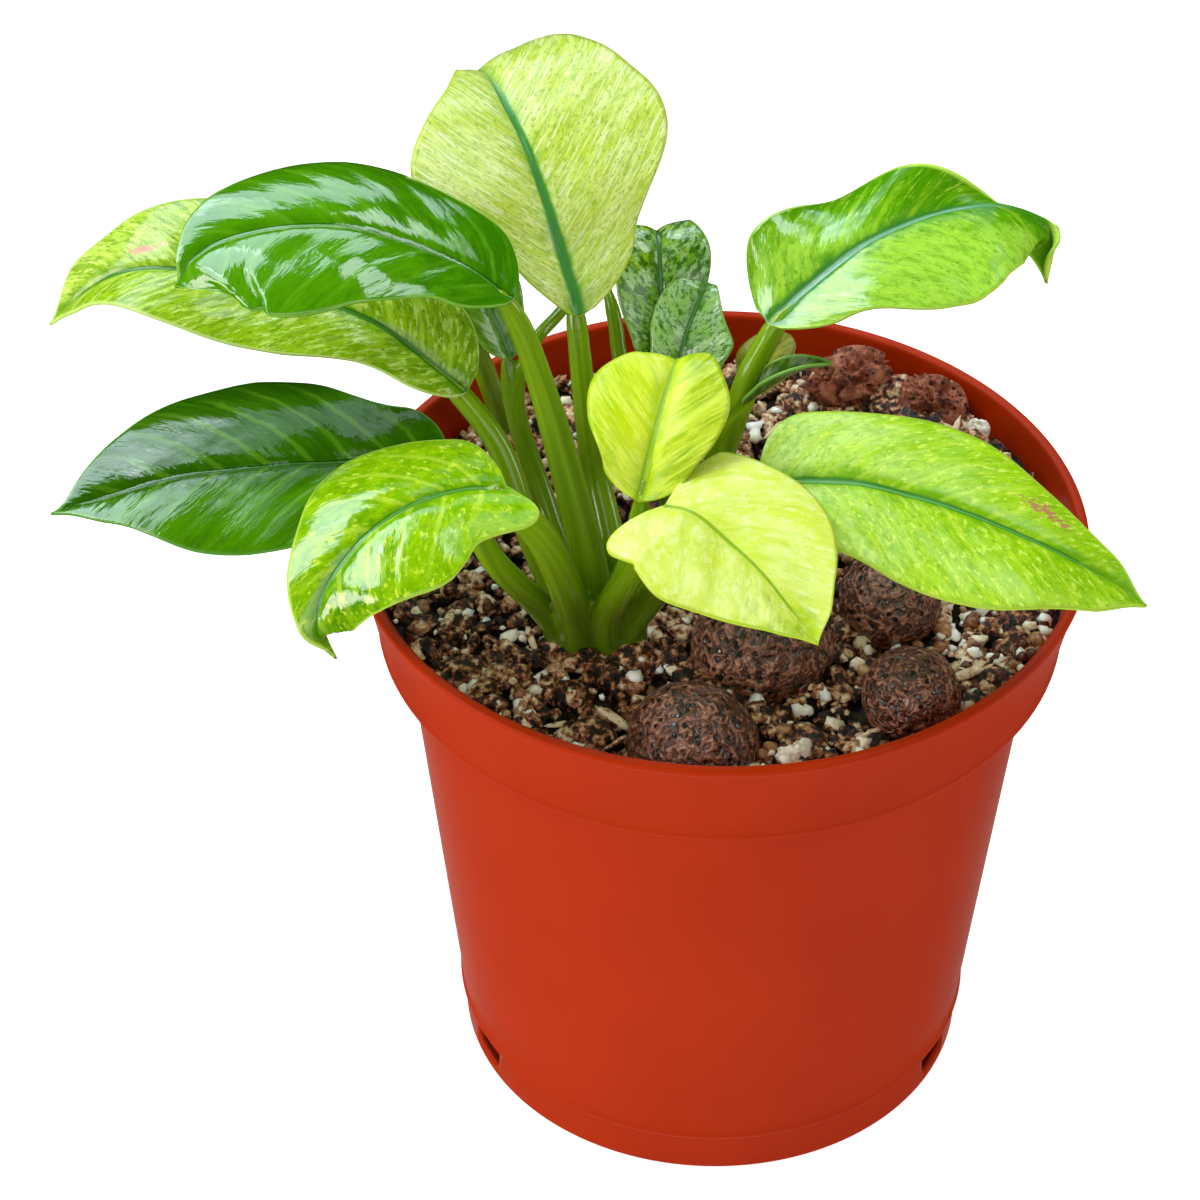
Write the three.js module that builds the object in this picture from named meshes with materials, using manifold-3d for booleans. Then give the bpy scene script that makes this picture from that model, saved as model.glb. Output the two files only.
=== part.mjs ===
// Potted aroid house plant with marbled green and cream leaves.
// Millimetres, +Z up. The origin is the centre of the pot's underside, +X is to the
// right and -Y is the front. The plant is three shoots in one pot of coarse bark mix.
import * as THREE from 'three';
import { mergeVertices } from 'three/addons/utils/BufferGeometryUtils.js';
import Module from 'manifold-3d';

// ---- driving dimensions ----

// Clearance between pieces that touch in the real plant.
const GAP = 0.3;

// Thermoformed nursery pot, 108 mm across the rim and 95 mm tall.
const POT = {
  height: 95,
  rimRadius: 54,
  lip: 1.8,
  lipHeight: 1.3,
  lipOut: 0.6,
  bandFoot: 79.5,
  bandFootRadius: 50.4,
  shoulderRadius: 46.9,
  shoulderZ: 78.5,
  heelRadius: 39.9,
  heelZ: 12.4,
  stepZ: 7.6,
  stepRadius: 39.4,
  footRadius: 38.9,
  wall: 1.2,
  floor: 1.5,
  sides: 48,
};

// Drainage slots in the foot band, angles from the front (-Y) toward +X.
const SLOT = { width: 8, height: 5, z: 4.2, angles: [-63, 65, 183] };

// Bark mix: level of its surface, its rise toward the back and the height of its lumps.
const SOIL = { level: 86, rise: 0.04, lump: 0.7, rings: 6, sides: 40 };

// Fired clay balls that lie half sunk in the mix: centre and radius.
const BALLS = {
  clay_ball_front: { at: [-3.4, -37.2, 84.5], radius: 10 },
  clay_ball_middle: { at: [6.3, -17.8, 86.6], radius: 10.8 },
  clay_ball_back: { at: [24.8, -9.9, 90], radius: 7.7 },
  clay_ball_right: { at: [27.6, -29.9, 89], radius: 7.4 },
};

// Larger lumps of lava rock and white perlite near the back wall: centre, half sizes, turn.
const LUMPS = {
  lava_chunk_left: { at: [19.5, 39.7, 92], half: [6.5, 4.5, 5.5], turn: 20, color: 0x6a3b2c },
  lava_chunk_right: { at: [31.8, 34, 92], half: [5.3, 4.3, 5.2], turn: -35, color: 0x5d3226 },
  perlite_back: { at: [38.4, 28, 91], half: [2.8, 2.5, 3.4], turn: 10, color: 0xe9e2d6 },
  perlite_front: { at: [11.4, -39.4, 86.8], half: [2.8, 2.2, 2.4], turn: 40, color: 0xe4dccb },
};

// Leaf blades. rib: midrib from the petiole to the tip. left and right: half widths at
// 15, 40, 65 and 88 % of the rib, seen from above with the tip ahead. cup and edge: angle
// of each half at the midrib and at the margin, in degrees. roll: turn about the midrib
// at its base, middle and tip. lobe: how far each half reaches back past the petiole, as a
// share of the rib. wave: height, count along the rib and phase of each margin's waves.
const STATIONS = [0.15, 0.4, 0.65, 0.88];
const BLADE = { thickness: 0.8, steps: 11, columns: 4, tip: 0.9 };
const LEAVES = {
  leaf_back_tall: {
    rib: [[-21, 4, 129.5], [-23.5, 10, 135.5], [-27.5, 19, 143], [-32, 29, 147.5], [-36, 39, 147.5],
      [-39, 45, 142], [-39, 47, 135]],
    left: [8, 18.8, 7.6, 0.3], right: [10.8, 20.8, 18.5, 9],
    cup: [16, 14], edge: [0, 0], tip: 0.6, wave: [[0, 1, 0], [0.8, 2, 0.53]], color: 0xb9cf62,
  },
  leaf_left_upper: {
    rib: [[-29.5, -8, 141], [-40, -5, 146.5], [-53, -4, 150], [-67, -6, 150], [-73.5, -10, 148.5],
      [-76, -13, 145.5]],
    left: [8, 13.5, 16.5, 14], right: [10.5, 15, 13.5, 4.5],
    cup: [10, 10], edge: [-25, -25], roll: [-5, -8, -5], color: 0x3f8a3a,
  },
  leaf_left_long: {
    rib: [[-37, 0, 118.5], [-50.5, 5, 127], [-66.5, 9, 130], [-82.5, 11, 131.5], [-91.5, 12, 127.5],
      [-98.5, 12, 120]],
    left: [6, 11, 10.5, 4.5], right: [10, 13.5, 13, 6],
    cup: [15, 15], edge: [-5, -15], roll: [-20, -20, -10], lobe: [0.02, 0.02], tip: 1.1, color: 0x86a944,
  },
  leaf_left_lower: {
    rib: [[-38.5, -20, 123.5], [-53.5, -19, 120.5], [-69, -19, 118.5], [-83, -21, 116.5],
      [-94, -25, 114.5]],
    left: [10.5, 14.5, 13.5, 5.5], right: [9, 17.5, 16, 5.5],
    cup: [10, 10], edge: [-25, -20], roll: [-8, -10, -5], lobe: [0.02, 0.02], color: 0x2c6b2a,
  },
  leaf_front_left: {
    rib: [[-29.5, -31, 126], [-38.5, -34, 127], [-47, -40, 125.5], [-53, -46, 121], [-54.5, -50, 115],
      [-52, -50, 110.5]],
    left: [8, 13.5, 10.5, 4.5], right: [10, 14, 8, 2],
    cup: [10, 12], edge: [-25, -30], roll: [-10, -5, 0], lobe: [0.16, 0.02], color: 0x79b23c,
  },
  leaf_right_upper: {
    rib: [[6, 10, 124.5], [17.5, 18, 131.5], [29, 24, 134.5], [39.5, 26, 135], [47, 25, 131.5],
      [46.5, 21, 125]],
    left: [11.5, 11.5, 3.6, 0.5], right: [8, 16.3, 16.3, 7],
    cup: [20, -5], edge: [0, -20], wave: [[2.8, 2.56, 0.82], [0, 1, 0]], color: 0x82b04a,
  },
  leaf_inner_left: {
    rib: [[-8.5, 16, 112.5], [-9.5, 20, 119.5], [-10, 25, 125.5], [-10.5, 30, 126.5], [-11, 33, 124]],
    left: [5, 6.5, 6.5, 5], right: [4.5, 6.5, 7.5, 5],
    cup: [15, 15], edge: [0, 0], tip: 0.6, small: true, color: 0x6f9a54,
  },
  leaf_inner_right: {
    rib: [[-7, 10.5, 114.7], [-5.5, 14.5, 120.2], [-3.5, 18.5, 124.2], [-2.5, 21.5, 123.2]],
    left: [4.5, 5.5, 5.5, 3.5], right: [6.5, 7.5, 4.5, 1.5],
    cup: [10, 10], edge: [0, 0], small: true, color: 0xb6c78c,
  },
  leaf_centre: {
    rib: [[-11.5, -26, 120], [-10, -21, 125.5], [-8.5, -15, 129], [-7, -9, 131], [-7, -5, 128]],
    left: [6, 9.7, 10.3, 5.5], right: [6, 9, 9.3, 5],
    cup: [14, 14], edge: [-5, -5], tip: 0.6, color: 0xb4d23e,
  },
  leaf_front: {
    rib: [[-8, -30, 122.6], [-3, -33, 123.1], [3.5, -39, 121.2], [9.5, -46, 118.3], [13.5, -51, 116]],
    left: [14, 15.5, 11.5, 5], right: [13, 15, 11, 4.5],
    cup: [10, 10], edge: [-10, -15], lobe: [0.08, 0.16], color: 0xdbe07a,
  },
  leaf_right_lower: {
    rib: [[5, -19, 118.5], [18, -20, 119.5], [29.5, -22, 118], [43, -26, 115], [53, -29, 111],
      [59.5, -31, 107.5]],
    left: [13, 15.2, 10, 4.2], right: [12, 15.5, 15, 7.5],
    cup: [10, 10], edge: [-15, -15], roll: [10, 8, 0], lobe: [0.04, 0.02], color: 0x9dc04c,
  },
  leaf_withered: {
    rib: [[3.5, 8, 113.5], [6.5, 12, 117.5], [9.5, 15, 119]],
    left: [3, 4.5, 4, 2.5], right: [3, 4.5, 4, 2.5],
    cup: [15, 15], edge: [0, 0], small: true, color: 0xa9b04a,
  },
  leaf_rolled: {
    rib: [[2.5, 6, 113], [9.5, 6, 119], [15.5, 8, 119.5]],
    left: [2, 2.8, 2.4, 1.2], right: [2, 2.8, 2.4, 1.2],
    cup: [35, 35], edge: [60, 60], small: true, color: 0x3c6b2c,
  },
  leaf_hidden_left: {
    rib: [[-31, 9, 118], [-35, 14, 125], [-40, 21, 129], [-44, 27, 129]],
    left: [4, 6, 5.5, 3], right: [4, 6, 5.5, 3],
    cup: [15, 15], edge: [0, 0], small: true, color: 0x5d8f3e,
  },
  leaf_hidden_far: {
    rib: [[-39, 27, 114], [-46, 30, 118], [-56, 33, 121], [-65, 34, 121]],
    left: [5, 8, 7, 3.5], right: [5, 8, 7, 3.5],
    cup: [12, 12], edge: [0, 0], small: true, color: 0x5d8f3e,
  },
  leaf_hidden_tall: {
    rib: [[-23, 20, 120.9], [-24, 26, 125], [-25.5, 33, 128], [-26.5, 40, 128]],
    left: [4.5, 7, 6.5, 3.5], right: [4.5, 7, 6.5, 3.5],
    cup: [12, 12], edge: [0, 0], small: true, color: 0x7fa04a,
  },
  leaf_hidden_mid: {
    rib: [[-18, 31, 116], [-18.5, 37, 120], [-19, 43, 122], [-19.5, 48, 120.5]],
    left: [3.5, 5.5, 5, 3], right: [3, 4.2, 4, 2.5],
    cup: [12, 12], edge: [0, 0], small: true, color: 0x7fa04a,
  },
};

// Shoots: a short root stock in the mix and the petioles that rise from it. root: foot,
// top, radius and how much wider it is along X. Each petiole has its path, its radius at
// the foot and at the blade, and the leaf it carries.
const SHOOTS = {
  shoot_main: {
    root: { foot: [-17.5, -14, 69], top: [-17.5, -14, 88.5], radius: 5, widen: 1.45 },
    petioles: [
      { leaf: 'leaf_left_lower', radius: [2, 1.5],
        path: [[-22, -15, 83], [-25, -17, 92], [-32, -22, 105.5], [-36.5, -21, 115.5]] },
      { leaf: 'leaf_front_left', radius: [2.7, 2],
        path: [[-20.5, -16, 82], [-20.5, -18, 91.5], [-24.5, -26, 112]] },
      { leaf: 'leaf_left_long', radius: [2, 1.6],
        path: [[-21, -13, 82], [-22.5, -13, 89], [-27.5, -10, 100.5], [-32, -4, 111.5]] },
      { leaf: 'leaf_hidden_left', radius: [1.8, 1.4],
        path: [[-20, -11, 82], [-20.5, -10, 88.5], [-25.5, 0, 97.5], [-30, 6, 109]] },
      { leaf: 'leaf_hidden_tall', radius: [1.1, 0.9],
        path: [[-30, 6, 109], [-29.8, 8.5, 115.5], [-27.5, 11, 120.2], [-24.7, 16, 120.8]] },
      { leaf: 'leaf_left_upper', radius: [2.8, 1.5],
        path: [[-17.5, -14, 82], [-19, -14, 99.5], [-23, -11, 117], [-27.5, -8, 132.5]] },
      { leaf: 'leaf_back_tall', radius: [2.3, 1.4],
        path: [[-15.5, -11, 82], [-15.5, -9, 95.5], [-18.5, -2, 106.5], [-20, 0, 117.5]] },
      { leaf: 'leaf_centre', radius: [2.3, 1.5],
        path: [[-14, -15, 82], [-14.5, -18, 95.5], [-12, -25, 110.5]] },
      { leaf: 'leaf_front', radius: [2.4, 1.5],
        path: [[-15, -16, 82], [-16, -19, 93.5], [-12, -26, 108]] },
      { leaf: 'leaf_right_lower', radius: [2.5, 1.6],
        path: [[-12.5, -14.5, 82], [-12.5, -17, 91], [-7.5, -18, 100], [-1, -18, 110]] },
    ],
  },
  shoot_back: {
    root: { foot: [-4, 5.5, 69], top: [-4, 5.5, 89], radius: 3.4, widen: 1.1 },
    petioles: [
      { leaf: 'leaf_right_upper', radius: [2.2, 1.6],
        path: [[-4, 6, 82], [-3, 6.5, 93], [1.5, 7, 109.5], [3.5, 8, 117]] },
      { leaf: 'leaf_withered', radius: [1, 0.9], path: [[1.4, 7, 109], [2.5, 7.3, 111.5]] },
      { leaf: 'leaf_rolled', radius: [1.1, 0.9], path: [[0, 6.8, 105], [1.3, 6.3, 109.5]] },
      { leaf: 'leaf_inner_left', radius: [1.7, 1.2],
        path: [[-5, 5.5, 82], [-6.5, 8, 98], [-8, 13, 107]] },
      { leaf: 'leaf_inner_right', radius: [1.6, 1.2],
        path: [[-4, 5.5, 82], [-5, 7, 99], [-6.5, 9, 108]] },
      { leaf: 'leaf_hidden_mid', radius: [1.4, 1.1],
        path: [[-5, 6.5, 82], [-10, 13, 97], [-15, 21, 106.5], [-16.6, 27, 112.3]] },
    ],
  },
  shoot_far: {
    root: { foot: [-29.5, 27, 71], top: [-33, 31, 84], radius: 2.2, widen: 1 },
    petioles: [
      { leaf: 'leaf_hidden_far', radius: [1.8, 1.5],
        path: [[-32.5, 30.3, 82], [-33.8, 31.8, 89], [-36.5, 29.5, 101]] },
    ],
  },
};

const COLORS = { pot: 0xb8371c, soil: 0x4a3123, clay: 0x4d2a1d, stem: 0x5f9136 };

// ---- geometry helpers ----

const wasm = await Module();
wasm.setup();

const { lerp } = THREE.MathUtils;
const vec = (point) => new THREE.Vector3(...point);
const clamp01 = (x) => Math.min(1, Math.max(0, x));
const radians = (degrees) => (degrees * Math.PI) / 180;

// Keeps the shared corners of a geometry once and drops triangles that have no area.
function welded(geometry) {
  const bare = new THREE.BufferGeometry();
  bare.setAttribute('position', geometry.getAttribute('position'));
  if (geometry.index) bare.setIndex(geometry.index);
  const merged = mergeVertices(bare, 1e-3);
  const index = merged.index.array;
  const kept = [];
  for (let i = 0; i < index.length; i += 3) {
    const [a, b, c] = [index[i], index[i + 1], index[i + 2]];
    if (a !== b && b !== c && c !== a) kept.push(a, b, c);
  }
  merged.setIndex(kept);
  return merged;
}

function toSolid(geometry) {
  const merged = welded(geometry);
  return new wasm.Manifold(new wasm.Mesh({
    numProp: 3,
    vertProperties: Float32Array.from(merged.getAttribute('position').array),
    triVerts: Uint32Array.from(merged.index.array),
  }));
}

function toGeometry(solid) {
  const mesh = solid.getMesh();
  const geometry = new THREE.BufferGeometry();
  geometry.setAttribute('position', new THREE.BufferAttribute(mesh.vertProperties, 3));
  geometry.setIndex(new THREE.BufferAttribute(mesh.triVerts, 1));
  return geometry;
}

// The largest body of a solid: a cut beside a blade can leave a sliver behind.
function mainBody(solid) {
  const bodies = solid.decompose();
  bodies.sort((a, b) => b.volume() - a.volume());
  return bodies[0];
}

// A closed skin over rings of points; each end is closed by a fan about its centre.
function loft(rings) {
  const count = rings[0].length;
  const points = rings.flat();
  const centres = [rings[0], rings[rings.length - 1]].map((ring) => {
    const centre = new THREE.Vector3();
    ring.forEach((point) => centre.addScaledVector(point, 1 / count));
    return centre;
  });
  const index = [];
  for (let row = 0; row < rings.length - 1; row += 1) {
    for (let i = 0; i < count; i += 1) {
      const next = (i + 1) % count;
      const [a, b] = [row * count + i, row * count + next];
      index.push(a, b, b + count, a, b + count, a + count);
    }
  }
  const last = (rings.length - 1) * count;
  for (let i = 0; i < count; i += 1) {
    const next = (i + 1) % count;
    index.push(points.length, next, i, points.length + 1, last + i, last + next);
  }
  const geometry = new THREE.BufferGeometry().setFromPoints([...points, ...centres]);
  geometry.setIndex(index);
  return geometry;
}

// A tapering round tube along a smooth path.
function tube(points, radii, sides, stepLength) {
  const curve = new THREE.CatmullRomCurve3(points);
  const steps = Math.max(2, Math.round(curve.getLength() / stepLength));
  const frames = curve.computeFrenetFrames(steps);
  const rings = [];
  for (let i = 0; i <= steps; i += 1) {
    const centre = curve.getPointAt(i / steps);
    const radius = lerp(radii[0], radii[1], i / steps);
    const ring = [];
    for (let k = 0; k < sides; k += 1) {
      const turn = (2 * Math.PI * k) / sides;
      ring.push(centre.clone()
        .addScaledVector(frames.normals[i], radius * Math.cos(turn))
        .addScaledVector(frames.binormals[i], radius * Math.sin(turn)));
    }
    rings.push(ring);
  }
  return loft(rings);
}

// ---- pot ----

function wallProfile(inset) {
  const p = POT;
  return [
    [p.footRadius - inset, 0],
    [p.stepRadius - 0.6 - inset, p.stepZ - 0.6],
    [p.stepRadius - inset, p.stepZ],
    [lerp(p.stepRadius, p.heelRadius, 0.75) - inset, lerp(p.stepZ, p.heelZ, 0.5)],
    [p.heelRadius - inset, p.heelZ],
    [p.shoulderRadius - inset, p.shoulderZ],
    [p.bandFootRadius - inset, p.bandFoot],
  ];
}

function potGeometry() {
  const p = POT;
  const lipFoot = p.height - p.lipHeight;
  const outer = [
    ...wallProfile(0),
    [p.rimRadius - p.lipOut, lipFoot],
    [p.rimRadius, lipFoot + 0.4],
    [p.rimRadius, p.height - 0.4],
    [p.rimRadius - 0.4, p.height],
    [p.rimRadius - p.lip + 0.4, p.height],
    [p.rimRadius - p.lip, p.height - 0.5],
  ];
  const inner = wallProfile(p.wall).slice(1).reverse();
  const floorRadius = p.footRadius - p.wall;
  const profile = [[0, 0], ...outer, ...inner, [floorRadius, p.floor], [0, p.floor]];
  const turned = new THREE.LatheGeometry(profile.map(([r, z]) => new THREE.Vector2(r, z)), p.sides);
  return turned.rotateX(Math.PI / 2);
}

function slotCutter(angle) {
  const reach = 12;
  const outline = new THREE.Shape();
  const [w, h] = [SLOT.width / 2, SLOT.height / 2];
  outline.moveTo(-w + h / 2, -h);
  outline.lineTo(w - h / 2, -h);
  outline.quadraticCurveTo(w, -h, w, -h / 2);
  outline.lineTo(w, h);
  outline.lineTo(-w, h);
  outline.lineTo(-w, -h / 2);
  outline.quadraticCurveTo(-w, -h, -w + h / 2, -h);
  const depth = { depth: reach, bevelEnabled: false, curveSegments: 3 };
  const cutter = new THREE.ExtrudeGeometry(outline, depth);
  cutter.rotateX(Math.PI / 2);
  cutter.translate(0, -(POT.footRadius - reach / 2), SLOT.z);
  cutter.rotateZ(radians(angle));
  return toSolid(cutter);
}

function pot() {
  const walls = toSolid(potGeometry());
  const slots = SLOT.angles.map(slotCutter);
  return slots.reduce((body, slot) => body.subtract(slot), walls);
}

// ---- bark mix ----

// The lumps are a sum of waves, so the surface needs no stored heights.
function lumpHeight(x, y) {
  const broad = Math.sin(0.21 * x + 1.3) * Math.cos(0.17 * y - 0.4);
  const fine = Math.sin(0.53 * x - 0.31 * y) * Math.cos(0.47 * y + 0.22 * x + 2);
  return SOIL.rise * y + SOIL.lump * (0.6 * broad + 0.6 * fine);
}

// Radius of the mix where it meets the rim band, which widens upward.
function brimAt(z) {
  const share = (z - POT.bandFoot) / (POT.height - POT.lipHeight - POT.bandFoot);
  return lerp(POT.bandFootRadius, POT.rimRadius - POT.lipOut, share) - POT.wall - GAP - 0.15;
}

function soilGeometry() {
  const reach = POT.wall + GAP;
  const sides = wallProfile(reach).slice(1, 7);
  const brimRadius = brimAt(SOIL.level);
  const top = [];
  for (let ring = 0; ring <= SOIL.rings; ring += 1) {
    top.push([brimRadius * (1 - ring / SOIL.rings), SOIL.level]);
  }
  const foot = POT.floor + GAP;
  const profile = [[0, foot], [POT.footRadius - reach - 0.1, foot], ...sides, ...top];
  const turned = new THREE.LatheGeometry(profile.map(([r, z]) => new THREE.Vector2(r, z)), SOIL.sides);
  turned.rotateX(Math.PI / 2);
  const position = turned.getAttribute('position');
  for (let i = 0; i < position.count; i += 1) {
    if (position.getZ(i) < SOIL.level - 0.01) continue;
    const [x, y] = [position.getX(i), position.getY(i)];
    const z = SOIL.level + lumpHeight(x, y);
    const spread = Math.hypot(x, y) > brimRadius - 0.01 ? brimAt(z) / brimRadius : 1;
    position.setXYZ(i, x * spread, y * spread, z);
  }
  return turned;
}

function ballGeometry({ at, radius }, clearance) {
  const ball = new THREE.IcosahedronGeometry(radius + clearance, 2);
  return ball.translate(...at);
}

// A broken lump: an icosahedron stretched to its half sizes, its corners pushed in and out.
function lumpGeometry({ at, half, turn }, clearance) {
  const lump = new THREE.IcosahedronGeometry(1, 1);
  const position = lump.getAttribute('position');
  const corner = new THREE.Vector3();
  for (let i = 0; i < position.count; i += 1) {
    corner.fromBufferAttribute(position, i);
    const knock = 0.14 * Math.sin(5 * corner.x + 2) * Math.cos(4 * corner.y + at[0]);
    corner.multiplyScalar(1 + knock + 0.1 * Math.sin(6 * corner.z));
    position.setXYZ(i, ...corner.toArray().map((value, axis) => value * (half[axis] + clearance * 1.25)));
  }
  lump.rotateZ(radians(turn));
  return lump.translate(...at);
}

// ---- leaves ----

// Half width along the rib: a smooth curve through the widths at the stations.
function halfWidth(widths, s) {
  const slope = (i, j) => (widths[j] - widths[i]) / (STATIONS[j] - STATIONS[i]);
  const slopes = [0.5 * slope(0, 1), slope(0, 2), slope(1, 3), slope(2, 3)];
  slopes[1] = 0.5 * (slope(0, 1) + slope(1, 2));
  slopes[2] = 0.5 * (slope(1, 2) + slope(2, 3));
  if (s <= STATIONS[0]) return widths[0] + slopes[0] * (s - STATIONS[0]);
  if (s >= STATIONS[3]) return widths[3] + slopes[3] * (s - STATIONS[3]);
  const i = s < STATIONS[1] ? 0 : (s < STATIONS[2] ? 1 : 2);
  const span = STATIONS[i + 1] - STATIONS[i];
  const t = (s - STATIONS[i]) / span;
  const [t2, t3] = [t * t, t * t * t];
  return (2 * t3 - 3 * t2 + 1) * widths[i] + (t3 - 2 * t2 + t) * span * slopes[i]
    + (3 * t2 - 2 * t3) * widths[i + 1] + (t3 - t2) * span * slopes[i + 1];
}

function ribAt(curve, s) {
  const inside = clamp01(s);
  const tangent = curve.getTangentAt(inside);
  const point = curve.getPointAt(inside).addScaledVector(tangent, (s - inside) * curve.getLength());
  return { point, tangent };
}

// A point of the blade and its normal. s runs along the rib and v across it, from the left
// margin at -1 to the right margin at 1.
function bladePoint(leaf, curve, s, v, grow) {
  const side = v > 0 ? 1 : 0;
  const widths = side ? leaf.right : leaf.left;
  const across = Math.abs(v);
  const full = Math.max(...widths);
  const cap = Math.sin((Math.PI / 2) * clamp01(s / 0.15)) ** 0.6
    * Math.sin((Math.PI / 2) * clamp01((1 - s) / 0.12)) ** (leaf.tip ?? BLADE.tip);
  const width = halfWidth(widths, s) * cap + grow * Math.min(1, 20 * cap);
  const lobe = (leaf.lobe ?? [0, 0])[side];
  const back = lobe * Math.sin(Math.PI * Math.sqrt(clamp01(s / 0.45))) ** 2;
  const leaning = s * (1 - 0.35 * (1 - s));
  const { point, tangent } = ribAt(curve, leaning + (s - back - leaning) * across ** 1.4);
  const sideways = tangent.clone().cross(new THREE.Vector3(0, 0, 1)).normalize();
  const up = sideways.clone().cross(tangent);
  const [rollBase, rollMiddle, rollTip] = leaf.roll ?? [0, 0, 0];
  const roll = radians(s < 0.5
    ? lerp(rollBase, rollMiddle, 2 * s)
    : lerp(rollMiddle, rollTip, 2 * s - 1));
  sideways.applyAxisAngle(tangent, roll);
  up.applyAxisAngle(tangent, roll);
  const start = radians(leaf.cup[side]);
  const bend = radians(leaf.edge[side]) - start;
  const angle = start + (bend * width * across) / full;
  const arc = bend === 0 ? 0 : full / bend;
  const out = arc ? arc * (Math.sin(angle) - Math.sin(start)) : width * across * Math.cos(start);
  const rise = arc ? arc * (Math.cos(start) - Math.cos(angle)) : width * across * Math.sin(start);
  const [height, count, phase] = leaf.wave?.[side] ?? [0, 1, 0];
  const ripple = height * Math.sin(2 * Math.PI * (count * s + phase)) * across ** 2 * cap;
  const sign = v < 0 ? -1 : 1;
  point.addScaledVector(sideways, sign * out).addScaledVector(up, rise + ripple);
  const normal = up.clone();
  if (v !== 0) normal.multiplyScalar(Math.cos(angle)).addScaledVector(sideways, -sign * Math.sin(angle));
  return { point, normal };
}

// The blade as a closed sheet, cut into the same triangles on its upper and lower face.
function bladeGeometry(leaf, clearance) {
  const curve = new THREE.CatmullRomCurve3(leaf.rib.map(vec), false, 'catmullrom', 0.5);
  const steps = leaf.small ? BLADE.steps - 3 : BLADE.steps;
  const columns = 2 * (leaf.small ? BLADE.columns - 1 : BLADE.columns) + 1;
  const thick = BLADE.thickness / 2 + clearance;
  const [upper, lower] = [[], []];
  for (let row = 0; row <= steps; row += 1) {
    for (let column = 0; column < columns; column += 1) {
      const v = (2 * column) / (columns - 1) - 1;
      const { point, normal } = bladePoint(leaf, curve, row / steps, v, clearance);
      if (row === 0 || row === steps) {
        const end = bladePoint(leaf, curve, row / steps, 0, 0);
        point.copy(end.point);
        normal.copy(end.normal);
      }
      upper.push(point.clone().addScaledVector(normal, thick));
      lower.push(point.clone().addScaledVector(normal, -thick));
    }
  }
  const index = [];
  const under = upper.length;
  for (let row = 0; row < steps; row += 1) {
    for (let column = 0; column < columns - 1; column += 1) {
      const a = row * columns + column;
      const [b, c, d] = [a + 1, a + columns + 1, a + columns];
      index.push(a, b, c, a, c, d);
      index.push(under + a, under + c, under + b, under + a, under + d, under + c);
    }
    const [left, right] = [row * columns, (row + 1) * columns - 1];
    const [leftNext, rightNext] = [left + columns, right + columns];
    index.push(left, leftNext, under + leftNext, left, under + leftNext, under + left);
    index.push(right, under + rightNext, rightNext, right, under + right, under + rightNext);
  }
  const geometry = new THREE.BufferGeometry().setFromPoints([...upper, ...lower]);
  geometry.setIndex(index);
  return welded(geometry);
}

// ---- shoots ----

// A petiole ends just short of the midrib that it carries.
function petiole({ leaf, path, radius }, clearance) {
  const points = path.map(vec);
  const base = vec(LEAVES[leaf].rib[0]);
  const along = vec(LEAVES[leaf].rib[1]).sub(base).normalize();
  const arriving = base.clone().sub(points[points.length - 1]).normalize();
  const slant = Math.sqrt(Math.max(0, 1 - arriving.dot(along) ** 2));
  const shy = GAP + 0.05 + slant * (BLADE.thickness / 2);
  points.push(base.clone().addScaledVector(arriving, -shy));
  return toSolid(tube(points, radius.map((r) => r + clearance), 8, 7));
}

function rootStock({ foot, top, radius, widen }, clearance) {
  const [low, high] = [vec(foot), vec(top)];
  const shift = clearance / low.distanceTo(high);
  const ends = [low.clone().lerp(high, -shift), low.clone().lerp(high, 0.85), high];
  const stock = tube(ends, [radius + clearance, radius + clearance], 12, 9);
  stock.translate(-low.x, 0, 0);
  stock.scale(widen, 1, 1);
  return toSolid(stock.translate(low.x, 0, 0));
}

function shoot({ root, petioles }, clearance) {
  return petioles.reduce((body, stalk) => body.add(petiole(stalk, clearance)), rootStock(root, clearance));
}

// ---- assembly ----

const plant = new THREE.Group();

function addPiece(name, geometry, color, roughness) {
  const material = new THREE.MeshStandardMaterial({ color, roughness, metalness: 0 });
  const mesh = new THREE.Mesh(geometry, material);
  mesh.name = name;
  plant.add(mesh);
}

addPiece('pot', toGeometry(pot()), COLORS.pot, 0.45);

let soil = toSolid(soilGeometry());
for (const spec of Object.values(SHOOTS)) soil = soil.subtract(shoot(spec, GAP));
for (const spec of Object.values(BALLS)) soil = soil.subtract(toSolid(ballGeometry(spec, GAP)));
for (const spec of Object.values(LUMPS)) soil = soil.subtract(toSolid(lumpGeometry(spec, GAP)));
addPiece('soil', toGeometry(mainBody(soil)), COLORS.soil, 0.9);

for (const [name, spec] of Object.entries(BALLS)) {
  addPiece(name, welded(ballGeometry(spec, 0)), COLORS.clay, 0.7);
}
for (const [name, spec] of Object.entries(LUMPS)) {
  addPiece(name, welded(lumpGeometry(spec, 0)), spec.color, 0.85);
}
for (const [name, leaf] of Object.entries(LEAVES)) {
  addPiece(name, bladeGeometry(leaf, 0), leaf.color, 0.35);
}
for (const [name, spec] of Object.entries(SHOOTS)) {
  const cleared = spec.petioles.reduce(
    (body, { leaf }) => body.subtract(toSolid(bladeGeometry(LEAVES[leaf], GAP))),
    shoot(spec, 0),
  );
  addPiece(name, toGeometry(mainBody(cleared)), COLORS.stem, 0.4);
}

export default plant;
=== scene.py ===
import math
import random

import bmesh
import bpy
from mathutils import Matrix, Vector, kdtree, noise


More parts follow.
